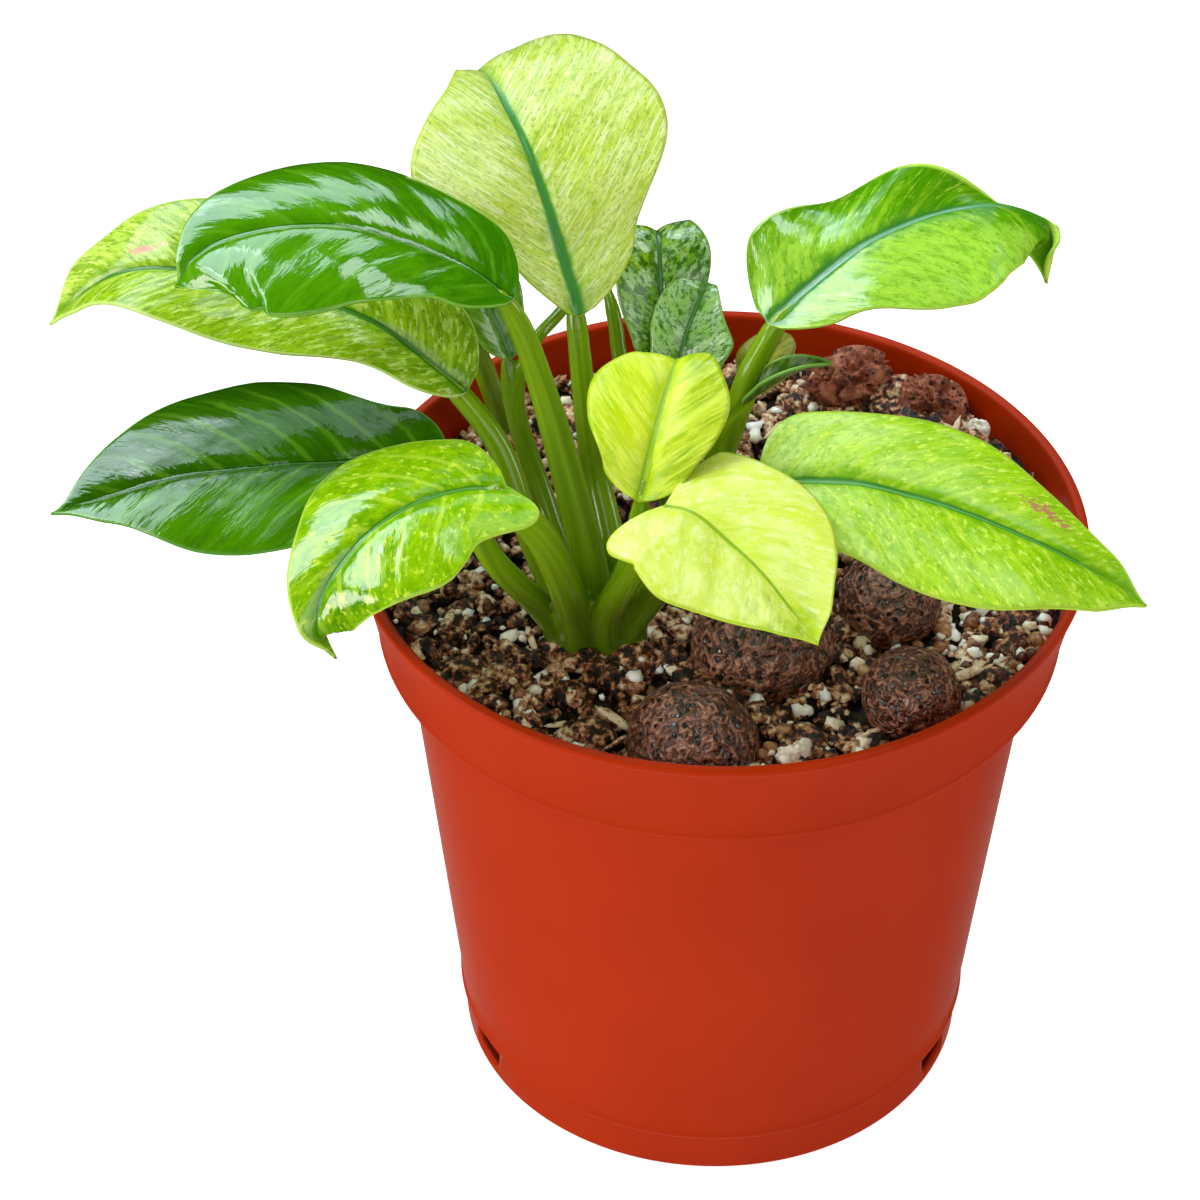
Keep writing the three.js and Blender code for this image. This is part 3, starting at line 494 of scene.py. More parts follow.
STATIONS = (0.15, 0.4, 0.65, 0.88)
LEAVES = {
    "leaf_back_tall": dict(
        rib=[(-21, 4, 129.5), (-23.5, 10, 135.5), (-27.5, 19, 143), (-32, 29, 147.5), (-36, 39, 147.5),
             (-39, 45, 142), (-39, 47, 135)],
        left=(8, 18.8, 7.6, 0.3), right=(10.8, 20.8, 18.5, 9), cup=(16, 14), edge=(0, 0), tip=0.6,
        wave=((0, 1, 0), (0.8, 2, 0.53))),
    "leaf_left_upper": dict(
        rib=[(-29.5, -8, 141), (-40, -5, 146.5), (-53, -4, 150), (-67, -6, 150), (-73.5, -10, 148.5),
             (-76, -13, 145.5)],
        left=(8, 13.5, 16.5, 14), right=(10.5, 15, 13.5, 4.5), cup=(10, 10), edge=(-25, -25), roll=(-5, -8, -5)),
    "leaf_left_long": dict(
        rib=[(-37, 0, 118.5), (-50.5, 5, 127), (-66.5, 9, 130), (-82.5, 11, 131.5), (-91.5, 12, 127.5),
             (-98.5, 12, 120)],
        left=(6, 11, 10.5, 4.5), right=(10, 13.5, 13, 6), cup=(15, 15), edge=(-5, -15),
        roll=(-20, -20, -10), lobe=(0.02, 0.02), tip=1.1),
    "leaf_left_lower": dict(
        rib=[(-38.5, -20, 123.5), (-53.5, -19, 120.5), (-69, -19, 118.5), (-83, -21, 116.5), (-94, -25, 114.5)],
        left=(10.5, 14.5, 13.5, 5.5), right=(9, 17.5, 16, 5.5), cup=(10, 10), edge=(-25, -20),
        roll=(-8, -10, -5), lobe=(0.02, 0.02)),
    "leaf_front_left": dict(
        rib=[(-29.5, -31, 126), (-38.5, -34, 127), (-47, -40, 125.5), (-53, -46, 121), (-54.5, -50, 115),
             (-52, -50, 110.5)],
        left=(8, 13.5, 10.5, 4.5), right=(10, 14, 8, 2), cup=(10, 12), edge=(-25, -30), roll=(-10, -5, 0),
        lobe=(0.16, 0.02)),
    "leaf_right_upper": dict(
        rib=[(6, 10, 124.5), (17.5, 18, 131.5), (29, 24, 134.5), (39.5, 26, 135), (47, 25, 131.5),
             (46.5, 21, 125)],
        left=(11.5, 11.5, 3.6, 0.5), right=(8, 16.3, 16.3, 7), cup=(20, -5), edge=(0, -20),
        wave=((2.8, 2.56, 0.82), (0, 1, 0))),
    "leaf_inner_left": dict(
        rib=[(-8.5, 16, 112.5), (-9.5, 20, 119.5), (-10, 25, 125.5), (-10.5, 30, 126.5), (-11, 33, 124)],
        left=(5, 6.5, 6.5, 5), right=(4.5, 6.5, 7.5, 5), cup=(15, 15), edge=(0, 0), tip=0.6),
    "leaf_inner_right": dict(
        rib=[(-7, 10.5, 114.7), (-5.5, 14.5, 120.2), (-3.5, 18.5, 124.2), (-2.5, 21.5, 123.2)],
        left=(4.5, 5.5, 5.5, 3.5), right=(6.5, 7.5, 4.5, 1.5), cup=(10, 10), edge=(0, 0)),
    "leaf_centre": dict(
        rib=[(-11.5, -26, 120), (-10, -21, 125.5), (-8.5, -15, 129), (-7, -9, 131), (-7, -5, 128.9)],
        left=(6, 9.7, 10.3, 5.5), right=(6, 9, 9.3, 5), cup=(14, 14), edge=(-5, -5), tip=0.6),
    "leaf_front": dict(
        rib=[(-8, -30, 122.6), (-3, -33, 123.1), (3.5, -39, 121.2), (9.5, -46, 118.3), (13.5, -51, 116)],
        left=(14, 15.5, 11.5, 5), right=(13, 15, 11, 4.5), cup=(10, 10), edge=(-10, -15), lobe=(0.08, 0.16)),
    "leaf_right_lower": dict(
        rib=[(5, -19, 118.5), (18, -20, 119.5), (29.5, -22, 118), (43, -26, 115), (53, -29, 111),
             (59.5, -31, 107.5)],
        left=(13, 15.2, 10, 4.2), right=(12, 15.5, 15, 7.5), cup=(10, 10), edge=(-15, -15), roll=(10, 8, 0),
        lobe=(0.04, 0.02)),
    "leaf_withered": dict(
        rib=[(3.5, 8, 113.5), (6.5, 12, 117.5), (9.5, 15, 119)],
        left=(3, 4.5, 4, 2.5), right=(3, 4.5, 4, 2.5), cup=(15, 15), edge=(0, 0)),
    "leaf_rolled": dict(
        rib=[(2.5, 6, 113), (9.5, 6, 119), (15.5, 8, 119.5)],
        left=(2, 2.8, 2.4, 1.2), right=(2, 2.8, 2.4, 1.2), cup=(35, 35), edge=(60, 60)),
    "leaf_hidden_left": dict(
        rib=[(-31, 9, 118), (-35, 14, 125), (-40, 21, 129), (-44, 27, 129)],
        left=(4, 6, 5.5, 3), right=(4, 6, 5.5, 3), cup=(15, 15), edge=(0, 0)),
    "leaf_hidden_far": dict(
        rib=[(-39, 27, 114), (-46, 30, 118), (-56, 33, 121), (-65, 34, 121)],
        left=(5, 8, 7, 3.5), right=(5, 8, 7, 3.5), cup=(12, 12), edge=(0, 0)),
    "leaf_hidden_tall": dict(
        rib=[(-23, 20, 120.9), (-24, 26, 125), (-25.5, 33, 128), (-26.5, 40, 128)],
        left=(4.5, 7, 6.5, 3.5), right=(4.5, 7, 6.5, 3.5), cup=(12, 12), edge=(0, 0)),
    "leaf_hidden_mid": dict(
        rib=[(-18, 31, 116), (-18.5, 37, 120), (-19, 43, 122), (-19.5, 48, 120.5)],
        left=(3.5, 5.5, 5, 3), right=(3, 4.2, 4, 2.5), cup=(12, 12), edge=(0, 0)),
}

# How each leaf looks. tints: broad colour changes, laid where along * share of the rib +
# across * place across the blade (-1 left margin, 1 right margin) passes from the first
# number to the second. marks: patches, streaks and flecks laid along the side veins, with
# the share of the blade they take, their width and length in mm, softness and strength.
# veins: colour, strength and half width in mm of the side veins. rib: edge and centre
# colour, half width in mm at the foot and tip, and the shares of the blade where it ends
# and starts to show. halo: colour, strength and reach in mm of the flush beside the rib.
# relief: strength of the pebbling where it isn't the common 0.28. scars: colour, share of the rib, place across, length and width in mm.
LOOKS = {
    "leaf_back_tall": dict(
        slot="leaf_pale", ground="#bdd142", gloss=0.16, shine=0.35, margin="#b0cc34",
        tints=[("#bcd23c", 0.6, 1.0, 0.0, 0.6, 1.0), ("#a9c42c", 0.6, -1.0, 0.0, -0.2, 0.0)],
        marks=[("#a6c22e", 0.42, 1.8, 4.5, 0.06, 0.5), ("#dfec94", 0.5, 2.2, 9, 0.08, 0.55),
               ("#8cae1e", 0.3, 0.8, 2.2, 0.03, 0.5), ("#f2f8cc", 0.28, 0.4, 7, 0.03, 0.5),
               ("#6f9814", 0.16, 0.45, 0.9, 0.02, 0.65)],
        veins=("#90b230", 0.4, 0.14), rib=("#3c8a2c", "#448c40", 1.1, 0.35, 0.8, 0.0), halo=("#7aac2c", 0.5, 3.0)),
    "leaf_left_upper": dict(
        slot="leaf_green", ground="#509204", gloss=0.07, shine=0.15, relief=0.24, wet=(0.14, 0.38), margin="#86bc48",
        tints=[("#2c6803", 0.85, -1.0, 0.15, -0.5, -0.1), ("#3c7c03", 0.6, 0.0, 1.0, 0.1, 1.0)],
        marks=[("#3b7e03", 0.5, 4, 14, 0.08, 0.4), ("#62a210", 0.3, 2.0, 9, 0.05, 0.35),
               ("#2f6e03", 0.25, 0.9, 3, 0.03, 0.3)],
        veins=("#74b024", 0.3, 0.18), rib=("#1f5808", "#5c9a34", 0.45, 0.22, 0.97, 0.0), halo=("#3a7a04", 0.5, 3.0)),
    "leaf_left_long": dict(
        slot="leaf_flecked", ground="#90b810", gloss=0.12, shine=0.5, margin="#c4de74",
        tints=[("#bcd65c", 0.85, 1.0, 0.3, 0.55, 1.05), ("#648e04", 0.7, -1.0, 0.0, -0.3, 0.0)],
        marks=[("#a8cc2c", 0.45, 2.4, 5, 0.05, 0.6), ("#6c9806", 0.42, 1.4, 3.6, 0.03, 0.65),
               ("#d8ec78", 0.28, 0.9, 2.6, 0.03, 0.65), ("#4a7804", 0.16, 0.5, 1.1, 0.02, 0.7)],
        veins=("#c0d84a", 0.4, 0.18), rib=("#2c6a10", "#4a8a2c", 0.6, 0.3, 0.95, 0.0), halo=("#5c9008", 0.7, 2.5),
        scars=("#d88a74", 0.78, 0.32, 1.0, 1.2)),
    "leaf_left_lower": dict(
        slot="leaf_dark", ground="#2f6003", gloss=0.07, shine=0.12, relief=0.45, wet=(0.5, 0.9), margin="#5e9838",
        tints=[("#4c8a04", 0.9, 0.0, -1.0, -0.05, 0.5)],
        marks=[("#285403", 0.5, 4.0, 12, 0.08, 0.5), ("#437c08", 0.3, 1.6, 9, 0.05, 0.35)],
        veins=("#6a9c20", 0.35, 0.2), rib=("#153c06", "#447c30", 0.4, 0.22, 0.97, 0.0), halo=("#1f4c02", 0.5, 3.0)),
    "leaf_front_left": dict(
        slot="leaf_mottled", ground="#86ba06", gloss=0.08, shine=0.15, wet=(0.36, 0.54), margin="#b8dc50",
        tints=[("#4a8403", 0.95, 1.0, 0.0, 0.5, 0.8), ("#76a804", 0.75, 0.0, 1.0, 0.05, 0.5)],
        marks=[("#74ac03", 0.5, 3.2, 3.6, 0.06, 0.55), ("#a6d00c", 0.4, 2.2, 2.6, 0.05, 0.5),
               ("#d8ec48", 0.14, 0.9, 1.4, 0.03, 0.7), ("#528c03", 0.14, 0.8, 1.1, 0.03, 0.5)],
        veins=("#d0e848", 0.36, 0.18), rib=("#3a7c10", "#5c9c38", 0.5, 0.3, 0.95, 0.12), halo=("#5a9804", 0.8, 2.5)),
    "leaf_right_upper": dict(
        slot="leaf_light", ground="#68a80a", gloss=0.1, shine=0.15, wet=(0.48, 0.24), margin="#b8dc4c",
        tints=[("#478a03", 1.0, 1.4, -0.6, 0.65, 1.05), ("#a8d848", 0.8, -1.5, 0.8, -1.05, -0.6)],
        marks=[("#8cc41c", 0.38, 1.8, 4, 0.05, 0.35), ("#4c9004", 0.38, 1.5, 3.6, 0.05, 0.45),
               ("#c0e050", 0.16, 0.6, 2, 0.02, 0.45), ("#3f7c04", 0.14, 0.6, 1.4, 0.02, 0.5)],
        veins=("#a8d42c", 0.38, 0.18), rib=("#3c8434", "#7cb08c", 1.2, 0.3, 0.8, 0.0), halo=("#3f8414", 0.8, 2.8)),
    "leaf_inner_left": dict(
        slot="leaf_inner", ground="#7cb638", gloss=0.1, shine=0.8, margin="#86b444",
        tints=[("#a8cc0a", 0.95, 1.0, 0.0, 0.62, 0.85), ("#3f7a14", 0.5, 0.0, 1.0, 0.5, 1.0)],
        # the pale silvery patches are painted sheen over the green
        marks=[("#b2dc98", 0.5, 2.4, 3, 0.03, 0.8), ("#34700c", 0.4, 1.2, 1.8, 0.02, 0.85),
               ("#285c08", 0.25, 0.6, 1, 0.02, 0.8)],
        veins=("#8cbc58", 0.25, 0.2), rib=("#28661c", "#4c8a44", 0.6, 0.3, 0.95, 0.0), halo=("#3c7818", 0.7, 1.6)),
    "leaf_inner_right": dict(
        slot="leaf_silver", ground="#a2d874", gloss=0.1, shine=0.8, margin="#90ba4c",
        tints=[("#5c9a18", 0.6, -1.0, 0.0, -0.3, 0.0)],
        # the pale silvery patches are painted sheen over the green
        marks=[("#b4dca4", 0.5, 2.2, 3, 0.03, 0.75), ("#4c8420", 0.3, 0.9, 1.5, 0.02, 0.85),
               ("#2f640a", 0.18, 0.5, 0.9, 0.02, 0.8)],
        veins=("#4f8c2c", 0.4, 0.2), rib=("#34741e", "#5c9448", 0.5, 0.3, 0.95, 0.0), halo=("#4c8c24", 0.7, 1.5)),
    "leaf_centre": dict(
        slot="leaf_lime", ground="#c0d618", gloss=0.22, shine=0.3, margin="#a8c412",
        tints=[("#a6c804", 0.8, 0.0, -1.0, 0.3, 0.9), ("#98b803", 0.7, -1.0, 0.0, -0.35, 0.0),
               ("#8cae03", 0.95, 0.0, 1.0, 0.1, 0.65)],
        marks=[("#dcea48", 0.5, 2.0, 9, 0.05, 0.6), ("#e4f06c", 0.3, 0.6, 6, 0.03, 0.45),
               ("#b4cc10", 0.3, 0.5, 5, 0.03, 0.45)],
        veins=("#a4c20c", 0.45, 0.14), rib=("#84ac06", "#98bc18", 0.7, 0.25, 0.9, 0.0), halo=("#a4c408", 0.7, 2.2)),
    "leaf_front": dict(
        slot="leaf_cream", ground="#c9da46", gloss=0.22, shine=0.3, margin="#b4cf2c",
        tints=[("#8db004", 1.0, 1.0, 0.0, 0.72, 0.98), ("#d8e83c", 0.6, 0.0, -1.0, 0.2, 0.9)],
        marks=[("#e4f08c", 0.5, 3.0, 5, 0.08, 0.5), ("#d0e040", 0.3, 1.8, 3, 0.06, 0.3),
               ("#f4fac4", 0.22, 1.0, 2, 0.04, 0.35), ("#a8c41c", 0.06, 0.6, 0.8, 0.02, 0.5)],
        veins=("#bcd426", 0.45, 0.14), rib=("#84ac06", "#98bc18", 0.4, 0.2, 0.95, 0.0), halo=("#c4dc30", 0.5, 2.2)),
    "leaf_right_lower": dict(
        slot="leaf_streaked", ground="#98c80a", gloss=0.2, shine=0.3, margin="#b0d040",
        tints=[("#7cb404", 0.8, 1.0, 0.0, 0.55, 1.0), ("#bcdc4c", 0.5, 0.0, 1.0, 0.5, 1.0),
               ("#c4e070", 0.7, -1.0, 0.0, -0.45, -0.15)],
        marks=[("#b0d824", 0.45, 2.4, 3.6, 0.06, 0.5), ("#7ab006", 0.38, 1.8, 3.2, 0.05, 0.5),
               ("#dcee60", 0.2, 0.8, 1.5, 0.03, 0.65), ("#5a9604", 0.14, 0.6, 1.1, 0.02, 0.5)],
        veins=("#c8e444", 0.32, 0.16), rib=("#2c7a14", "#62a44e", 0.8, 0.3, 0.93, 0.0), halo=("#64a008", 0.85, 3.2),
        scars=("#b9745c", 0.72, -0.66, 2.0, 1.7)),
    "leaf_withered": dict(
        slot="leaf_old", ground="#c0bc3c", gloss=0.35, shine=0.4, margin="#a09c34",
        tints=[("#8f7a28", 0.6, 1.0, 0.0, 0.7, 1.1)],
        marks=[("#d6cc62", 0.5, 1.8, 4, 0.04, 0.8), ("#8e8e24", 0.35, 1.0, 2, 0.03, 0.7)],
        veins=("#8c8c28", 0.4, 0.2), rib=("#7c8420", "#949c38", 0.5, 0.3, 0.95, 0.0), halo=("#a8a830", 0.5, 1.2)),
    "leaf_rolled": dict(
        slot="leaf_rolled", ground="#466e10", gloss=0.16, shine=0.5, margin="#78a840",
        tints=[("#24440a", 0.8, 1.0, 0.0, 0.7, 1.1)],
        marks=[("#6a9424", 0.4, 1.4, 5, 0.04, 0.6), ("#2a4c08", 0.4, 0.8, 3, 0.03, 0.6)],
        veins=("#82a43a", 0.4, 0.2), rib=("#28500c", "#4a7028", 0.4, 0.25, 0.95, 0.0), halo=("#345c0c", 0.5, 1.0)),
}
HIDDEN_LOOK = dict(
    slot="leaf_hidden", ground="#64981a", gloss=0.14, shine=0.7, margin="#94bc48",
    tints=[("#54880c", 0.6, 1.0, 0.0, 0.5, 1.0)],
    marks=[("#84b430", 0.42, 1.8, 5, 0.04, 0.6), ("#4a7c0c", 0.36, 1.2, 3, 0.03, 0.6)],
    veins=("#9cc444", 0.4, 0.2), rib=("#30701a", "#5c9444", 0.5, 0.3, 0.95, 0.0), halo=("#4c8414", 0.6, 2.0))

# Side veins leave the midrib about 5 mm apart and lean toward the tip at about 50 degrees.
VEIN_PITCH = 5.0
VEIN_LEAN = math.radians(52)


def half_width(widths, s):
    """Half width in mm at a share s of the rib: a smooth curve through the stations."""
    steep = [(widths[i + 1] - widths[i]) / (STATIONS[i + 1] - STATIONS[i]) for i in range(3)]
    slopes = (0.5 * steep[0], 0.5 * (steep[0] + steep[1]), 0.5 * (steep[1] + steep[2]), steep[2])
    if s <= STATIONS[0]:
        return widths[0] + slopes[0] * (s - STATIONS[0])
    if s >= STATIONS[3]:
        return widths[3] + slopes[3] * (s - STATIONS[3])
    i = 0 if s < STATIONS[1] else (1 if s < STATIONS[2] else 2)
    span = STATIONS[i + 1] - STATIONS[i]
    t = (s - STATIONS[i]) / span
    return ((2 * t ** 3 - 3 * t ** 2 + 1) * widths[i] + (t ** 3 - 2 * t ** 2 + t) * span * slopes[i]
            + (3 * t ** 2 - 2 * t ** 3) * widths[i + 1] + (t ** 3 - t ** 2) * span * slopes[i + 1])


def smooth_path(points, samples):
    """Places along a smooth curve through the points, evenly spaced, with its length."""
    marks = [Vector(p) for p in points]
    marks = [2 * marks[0] - marks[1]] + marks + [2 * marks[-1] - marks[-2]]
    fine = []
    for i in range(1, len(marks) - 2):
        a, b, c, d = marks[i - 1:i + 3]
        for k in range(60):
            t = k / 60
            fine.append(0.5 * (2 * b + (c - a) * t + (2 * a - 5 * b + 4 * c - d) * t ** 2
                               + (3 * b - a - 3 * c + d) * t ** 3))
    fine.append(marks[-2])
    gone = [0.0]
    for p, q in zip(fine, fine[1:]):
        gone.append(gone[-1] + (q - p).length)
    even = []
    j = 0
    for i in range(samples + 1):
        want = gone[-1] * i / samples
        while j < len(gone) - 2 and gone[j + 1] < want:
            j += 1
        share = (want - gone[j]) / (gone[j + 1] - gone[j])
        even.append(fine[j].lerp(fine[j + 1], min(1.0, share)))
    return even, gone[-1]


def rib_frame(path, length, s):
    """Point and direction of the midrib at a share s, straight on past its ends."""
    last = len(path) - 1
    inside = min(1.0, max(0.0, s))
    i = min(last - 1, int(inside * last))
    point = path[i].lerp(path[i + 1], inside * last - i)
    before, after = max(0, i - 1), min(last, i + 2)
    along = (path[after] - path[before]).normalized()
    return point + along * (s - inside) * length, along


def blade_point(leaf, path, length, s, v):
    """A point of the blade in mm, its upward normal, and its distance from the midrib."""
    side = 1 if v > 0 else 0
    widths = (leaf["left"], leaf["right"])[side]
    across = abs(v)
    full = max(widths)
    foot = math.sin(math.pi / 2 * min(1.0, s / 0.15)) ** 0.6
    end = max(0.0, math.sin(math.pi / 2 * min(1.0, (1 - s) / 0.12))) ** leaf.get("tip", 0.9)
    width = half_width(widths, s) * foot * end
    lobe = leaf.get("lobe", (0, 0))[side]
    back = lobe * math.sin(math.pi * math.sqrt(min(1.0, s / 0.45))) ** 2
    lean = s * (1 - 0.35 * (1 - s))
    point, along = rib_frame(path, length, lean + (s - back - lean) * across ** 1.4)
    out = along.cross(Vector((0, 0, 1))).normalized()
    up = out.cross(along)
    rolls = leaf.get("roll", (0, 0, 0))
    roll = rolls[0] + (rolls[1] - rolls[0]) * 2 * s if s < 0.5 else rolls[1] + (rolls[2] - rolls[1]) * (2 * s - 1)
    twist = Matrix.Rotation(math.radians(roll), 3, along)
    out, up = twist @ out, twist @ up
    start = math.radians(leaf["cup"][side])
    bend = math.radians(leaf["edge"][side]) - start
    angle = start + bend * width * across / full
    far = full / bend * (math.sin(angle) - math.sin(start))
    rise = -full / bend * (math.cos(angle) - math.cos(start))
    height, count, phase = leaf.get("wave", ((0, 1, 0), (0, 1, 0)))[side]
    rise += height * math.sin(2 * math.pi * (count * s + phase)) * across ** 2 * foot * end
    sign = -1 if v < 0 else 1
    normal = up if v == 0 else up * math.cos(angle) - out * (sign * math.sin(angle))
    return point + out * (sign * far) + up * rise, normal, width


def leaf_skin(name, look, seed):
    """Waxy leaf skin: cream and green tissue in patches, streaks and flecks along the veins."""
    finish, tree, shader = fresh_finish(name)
    veins = put(tree, "ShaderNodeAttribute", attribute_name="veins").outputs["Vector"]
    place = put(tree, "ShaderNodeAttribute", attribute_name="place").outputs["Vector"]
    along, from_edge, across = put(tree, "ShaderNodeSeparateXYZ", {0: place}).outputs
    lane, _, off_rib = put(tree, "ShaderNodeSeparateXYZ", {0: veins}).outputs
    layers = []

    ragged = put(tree, "ShaderNodeTexNoise", {"Vector": veins, "Scale": 0.2, "Detail": 6.0,
                                            "Roughness": 0.65}).outputs["Fac"]
    for code, strength, share, side, start, full in look["tints"]:
        reach = put(tree, "ShaderNodeMath", {0: along, 1: share, 2: -0.6}, operation="MULTIPLY_ADD").outputs[0]
        reach = put(tree, "ShaderNodeMath", {0: across, 1: side, 2: reach}, operation="MULTIPLY_ADD").outputs[0]
        reach = put(tree, "ShaderNodeMath", {0: ragged, 1: 1.2, 2: reach}, operation="MULTIPLY_ADD").outputs[0]
        mask = put(tree, "ShaderNodeMapRange", {"Value": reach, "From Min": start, "From Max": full,
                                                "To Max": strength}, interpolation_type="SMOOTHSTEP")
        layers.append((mask, code))
    for code, share, wide, long, soft, strength in look["marks"]:
        where = put(tree, "ShaderNodeMapping", {0: veins, "Location": (seed * 7.3 + wide, seed * 3.1, seed),
                                                "Scale": (1 / wide, 1 / long, 0.0)})
        cells = put(tree, "ShaderNodeTexNoise", {"Vector": where.outputs[0], "Scale": 1.0, "Detail": 6.0,
                                                 "Roughness": 0.68})
        edge = 0.5 + 0.24 * (0.5 - share)
        mask = put(tree, "ShaderNodeMapRange", {"Value": cells.outputs["Fac"], "From Min": edge - soft,
                                                "From Max": edge + soft, "To Max": strength})
        layers.append((mask, code))
    # a flush of greener tissue beside the midrib
    code, strength, reach = look["halo"]
    frayed = put(tree, "ShaderNodeMath", {0: ragged, 1: -9.0, 2: off_rib}, operation="MULTIPLY_ADD").outputs[0]
    mask = put(tree, "ShaderNodeMapRange", {"Value": frayed, "From Min": -4.5, "From Max": reach - 4.5,
                                            "To Min": strength, "To Max": 0.0}, interpolation_type="SMOOTHSTEP")
    layers.append((mask, code))
    # side veins: a thin line at each whole number of pitches, fading toward the margin
    code, strength, thin = look["veins"]
    drift = put(tree, "ShaderNodeTexNoise", {"Vector": veins, "Scale": 0.2, "Detail": 2.0}).outputs["Fac"]
    lane = put(tree, "ShaderNodeMath", {0: drift, 1: 1.8, 2: lane}, operation="MULTIPLY_ADD").outputs[0]
    lane = put(tree, "ShaderNodeMath", {0: lane, 1: VEIN_PITCH / 2}, operation="PINGPONG").outputs[0]
    fading = put(tree, "ShaderNodeMapRange", {"Value": from_edge, "From Max": 5.0, "To Max": strength}).outputs[0]
    mask = put(tree, "ShaderNodeMapRange", {"Value": lane, "From Min": thin, "From Max": thin * 3,
                                            "To Min": fading, "To Max": 0.0}, interpolation_type="SMOOTHSTEP")
    layers.append((mask, code))
    # midrib: darker at its edges, paler along its middle, narrowing toward the tip
    edge_code, centre_code, foot, tip, end, start = look["rib"]
    taper = put(tree, "ShaderNodeMapRange", {"Value": along, "To Min": foot, "To Max": tip}).outputs[0]
    frayed = put(tree, "ShaderNodeMath", {0: ragged, 1: 0.8, 2: 0.6}, operation="MULTIPLY_ADD").outputs[0]
    taper = put(tree, "ShaderNodeMath", {0: taper, 1: frayed}, operation="MULTIPLY").outputs[0]
    band = put(tree, "ShaderNodeMath", {0: off_rib, 1: taper}, operation="DIVIDE").outputs[0]
    ending = put(tree, "ShaderNodeMapRange", {"Value": along, "From Min": end - 0.12, "From Max": end,
                                              "To Min": 0.95, "To Max": 0.0}).outputs[0]
    if start:
        ending = put(tree, "ShaderNodeMapRange", {"Value": along, "From Min": start - 0.06, "From Max": start,
                                                  "To Max": ending}).outputs[0]
    mask = put(tree, "ShaderNodeMapRange", {"Value": band, "From Min": 0.7, "From Max": 1.5,
                                            "To Min": ending, "To Max": 0.0}, interpolation_type="SMOOTHSTEP")
    layers.append((mask, edge_code))
    mask = put(tree, "ShaderNodeMapRange", {"Value": band, "From Min": 0.1, "From Max": 0.7,
                                            "To Min": ending, "To Max": 0.0}, interpolation_type="SMOOTHSTEP")
    layers.append((mask, centre_code))
    # corky scars: broken brown spots inside one stretch of the blade
    if "scars" in look:
        code, centre, side, length, wide = look["scars"]
        spots = put(tree, "ShaderNodeTexNoise", {"Vector": veins, "Scale": 1.5, "Detail": 4.0}).outputs["Fac"]
        near = put(tree, "ShaderNodeVectorMath", {0: place, 1: (centre, 0.0, side)}, operation="SUBTRACT")
        near = put(tree, "ShaderNodeVectorMath", {0: near.outputs[0], 1: (26 / length, 0.0, 11 / wide)},
                   operation="MULTIPLY")
        far = put(tree, "ShaderNodeVectorMath", {0: near.outputs[0]}, operation="LENGTH").outputs["Value"]
        far = put(tree, "ShaderNodeMath", {0: spots, 1: -4.0, 2: far}, operation="MULTIPLY_ADD").outputs[0]
        mask = put(tree, "ShaderNodeMapRange", {"Value": far, "From Min": -1.35, "From Max": -1.6, "To Max": 0.9})
        layers.append((mask, code))
    # margin, a hairline of paler tissue
    mask = put(tree, "ShaderNodeMapRange", {"Value": from_edge, "From Min": 0.4, "From Max": 0.15, "To Max": 0.9})
    layers.append((mask, look["margin"]))
    skin = tone(look["ground"])
    for mask, code in layers:
        skin = put(tree, "ShaderNodeMix", {0: mask.outputs[0], 6: skin, 7: tone(code)}, data_type="RGBA").outputs[2]
    tree.links.new(skin, shader.inputs["Base Color"])
    # pebbled wax: dimples about 0.8 by 2.4 mm over softer swells about 3 by 7 mm
    where = put(tree, "ShaderNodeMapping", {0: veins, "Scale": (1 / 0.8, 1 / 2.4, 0.0)})
    dimples = put(tree, "ShaderNodeTexNoise", {"Vector": where.outputs[0], "Scale": 1.0, "Detail": 3.0}).outputs["Fac"]
    where = put(tree, "ShaderNodeMapping", {0: veins, "Scale": (1 / 3, 1 / 7, 0.0)})
    swells = put(tree, "ShaderNodeTexNoise", {"Vector": where.outputs[0], "Scale": 1.0, "Detail": 1.0}).outputs["Fac"]
    height = put(tree, "ShaderNodeMath", {0: swells, 1: 2.0, 2: dimples}, operation="MULTIPLY_ADD").outputs[0]
    relief = put(tree, "ShaderNodeBump", {"Height": height, "Strength": look.get("relief", 0.28), "Distance": 0.25 * MM})
    tree.links.new(relief.outputs["Normal"], shader.inputs["Normal"])
    smear = put(tree, "ShaderNodeMapRange", {"Value": dimples, "From Min": 0.3, "From Max": 0.7,
                                             "To Min": look["gloss"] * 0.8, "To Max": look["gloss"] * 1.4})
    tree.links.new(smear.outputs[0], shader.inputs["Roughness"])
    shader.inputs["IOR"].default_value = 1.48
    shader.inputs["Specular IOR Level"].default_value = look["shine"]
    if "wet" in look:
        # a film of water lies on one end of the blade; the other end has dried off
        dry, wet = look["wet"]
        reach = put(tree, "ShaderNodeMath", {0: ragged, 1: 0.8, 2: along}, operation="MULTIPLY_ADD").outputs[0]
        film = put(tree, "ShaderNodeMapRange", {"Value": reach, "From Min": dry + 0.4, "From Max": wet + 0.4},
                   interpolation_type="SMOOTHSTEP")
        tree.links.new(film.outputs[0], shader.inputs["Coat Weight"])
        tree.links.new(relief.outputs["Normal"], shader.inputs["Coat Normal"])
        shader.inputs["Coat Roughness"].default_value = look["gloss"]
        shader.inputs["Coat IOR"].default_value = 1.65
    shader.inputs["Subsurface Weight"].default_value = 0.08
    shader.inputs["Subsurface Radius"].default_value = (0.8, 1.0, 0.2)
    shader.inputs["Subsurface Scale"].default_value = 0.6 * MM
    return finish


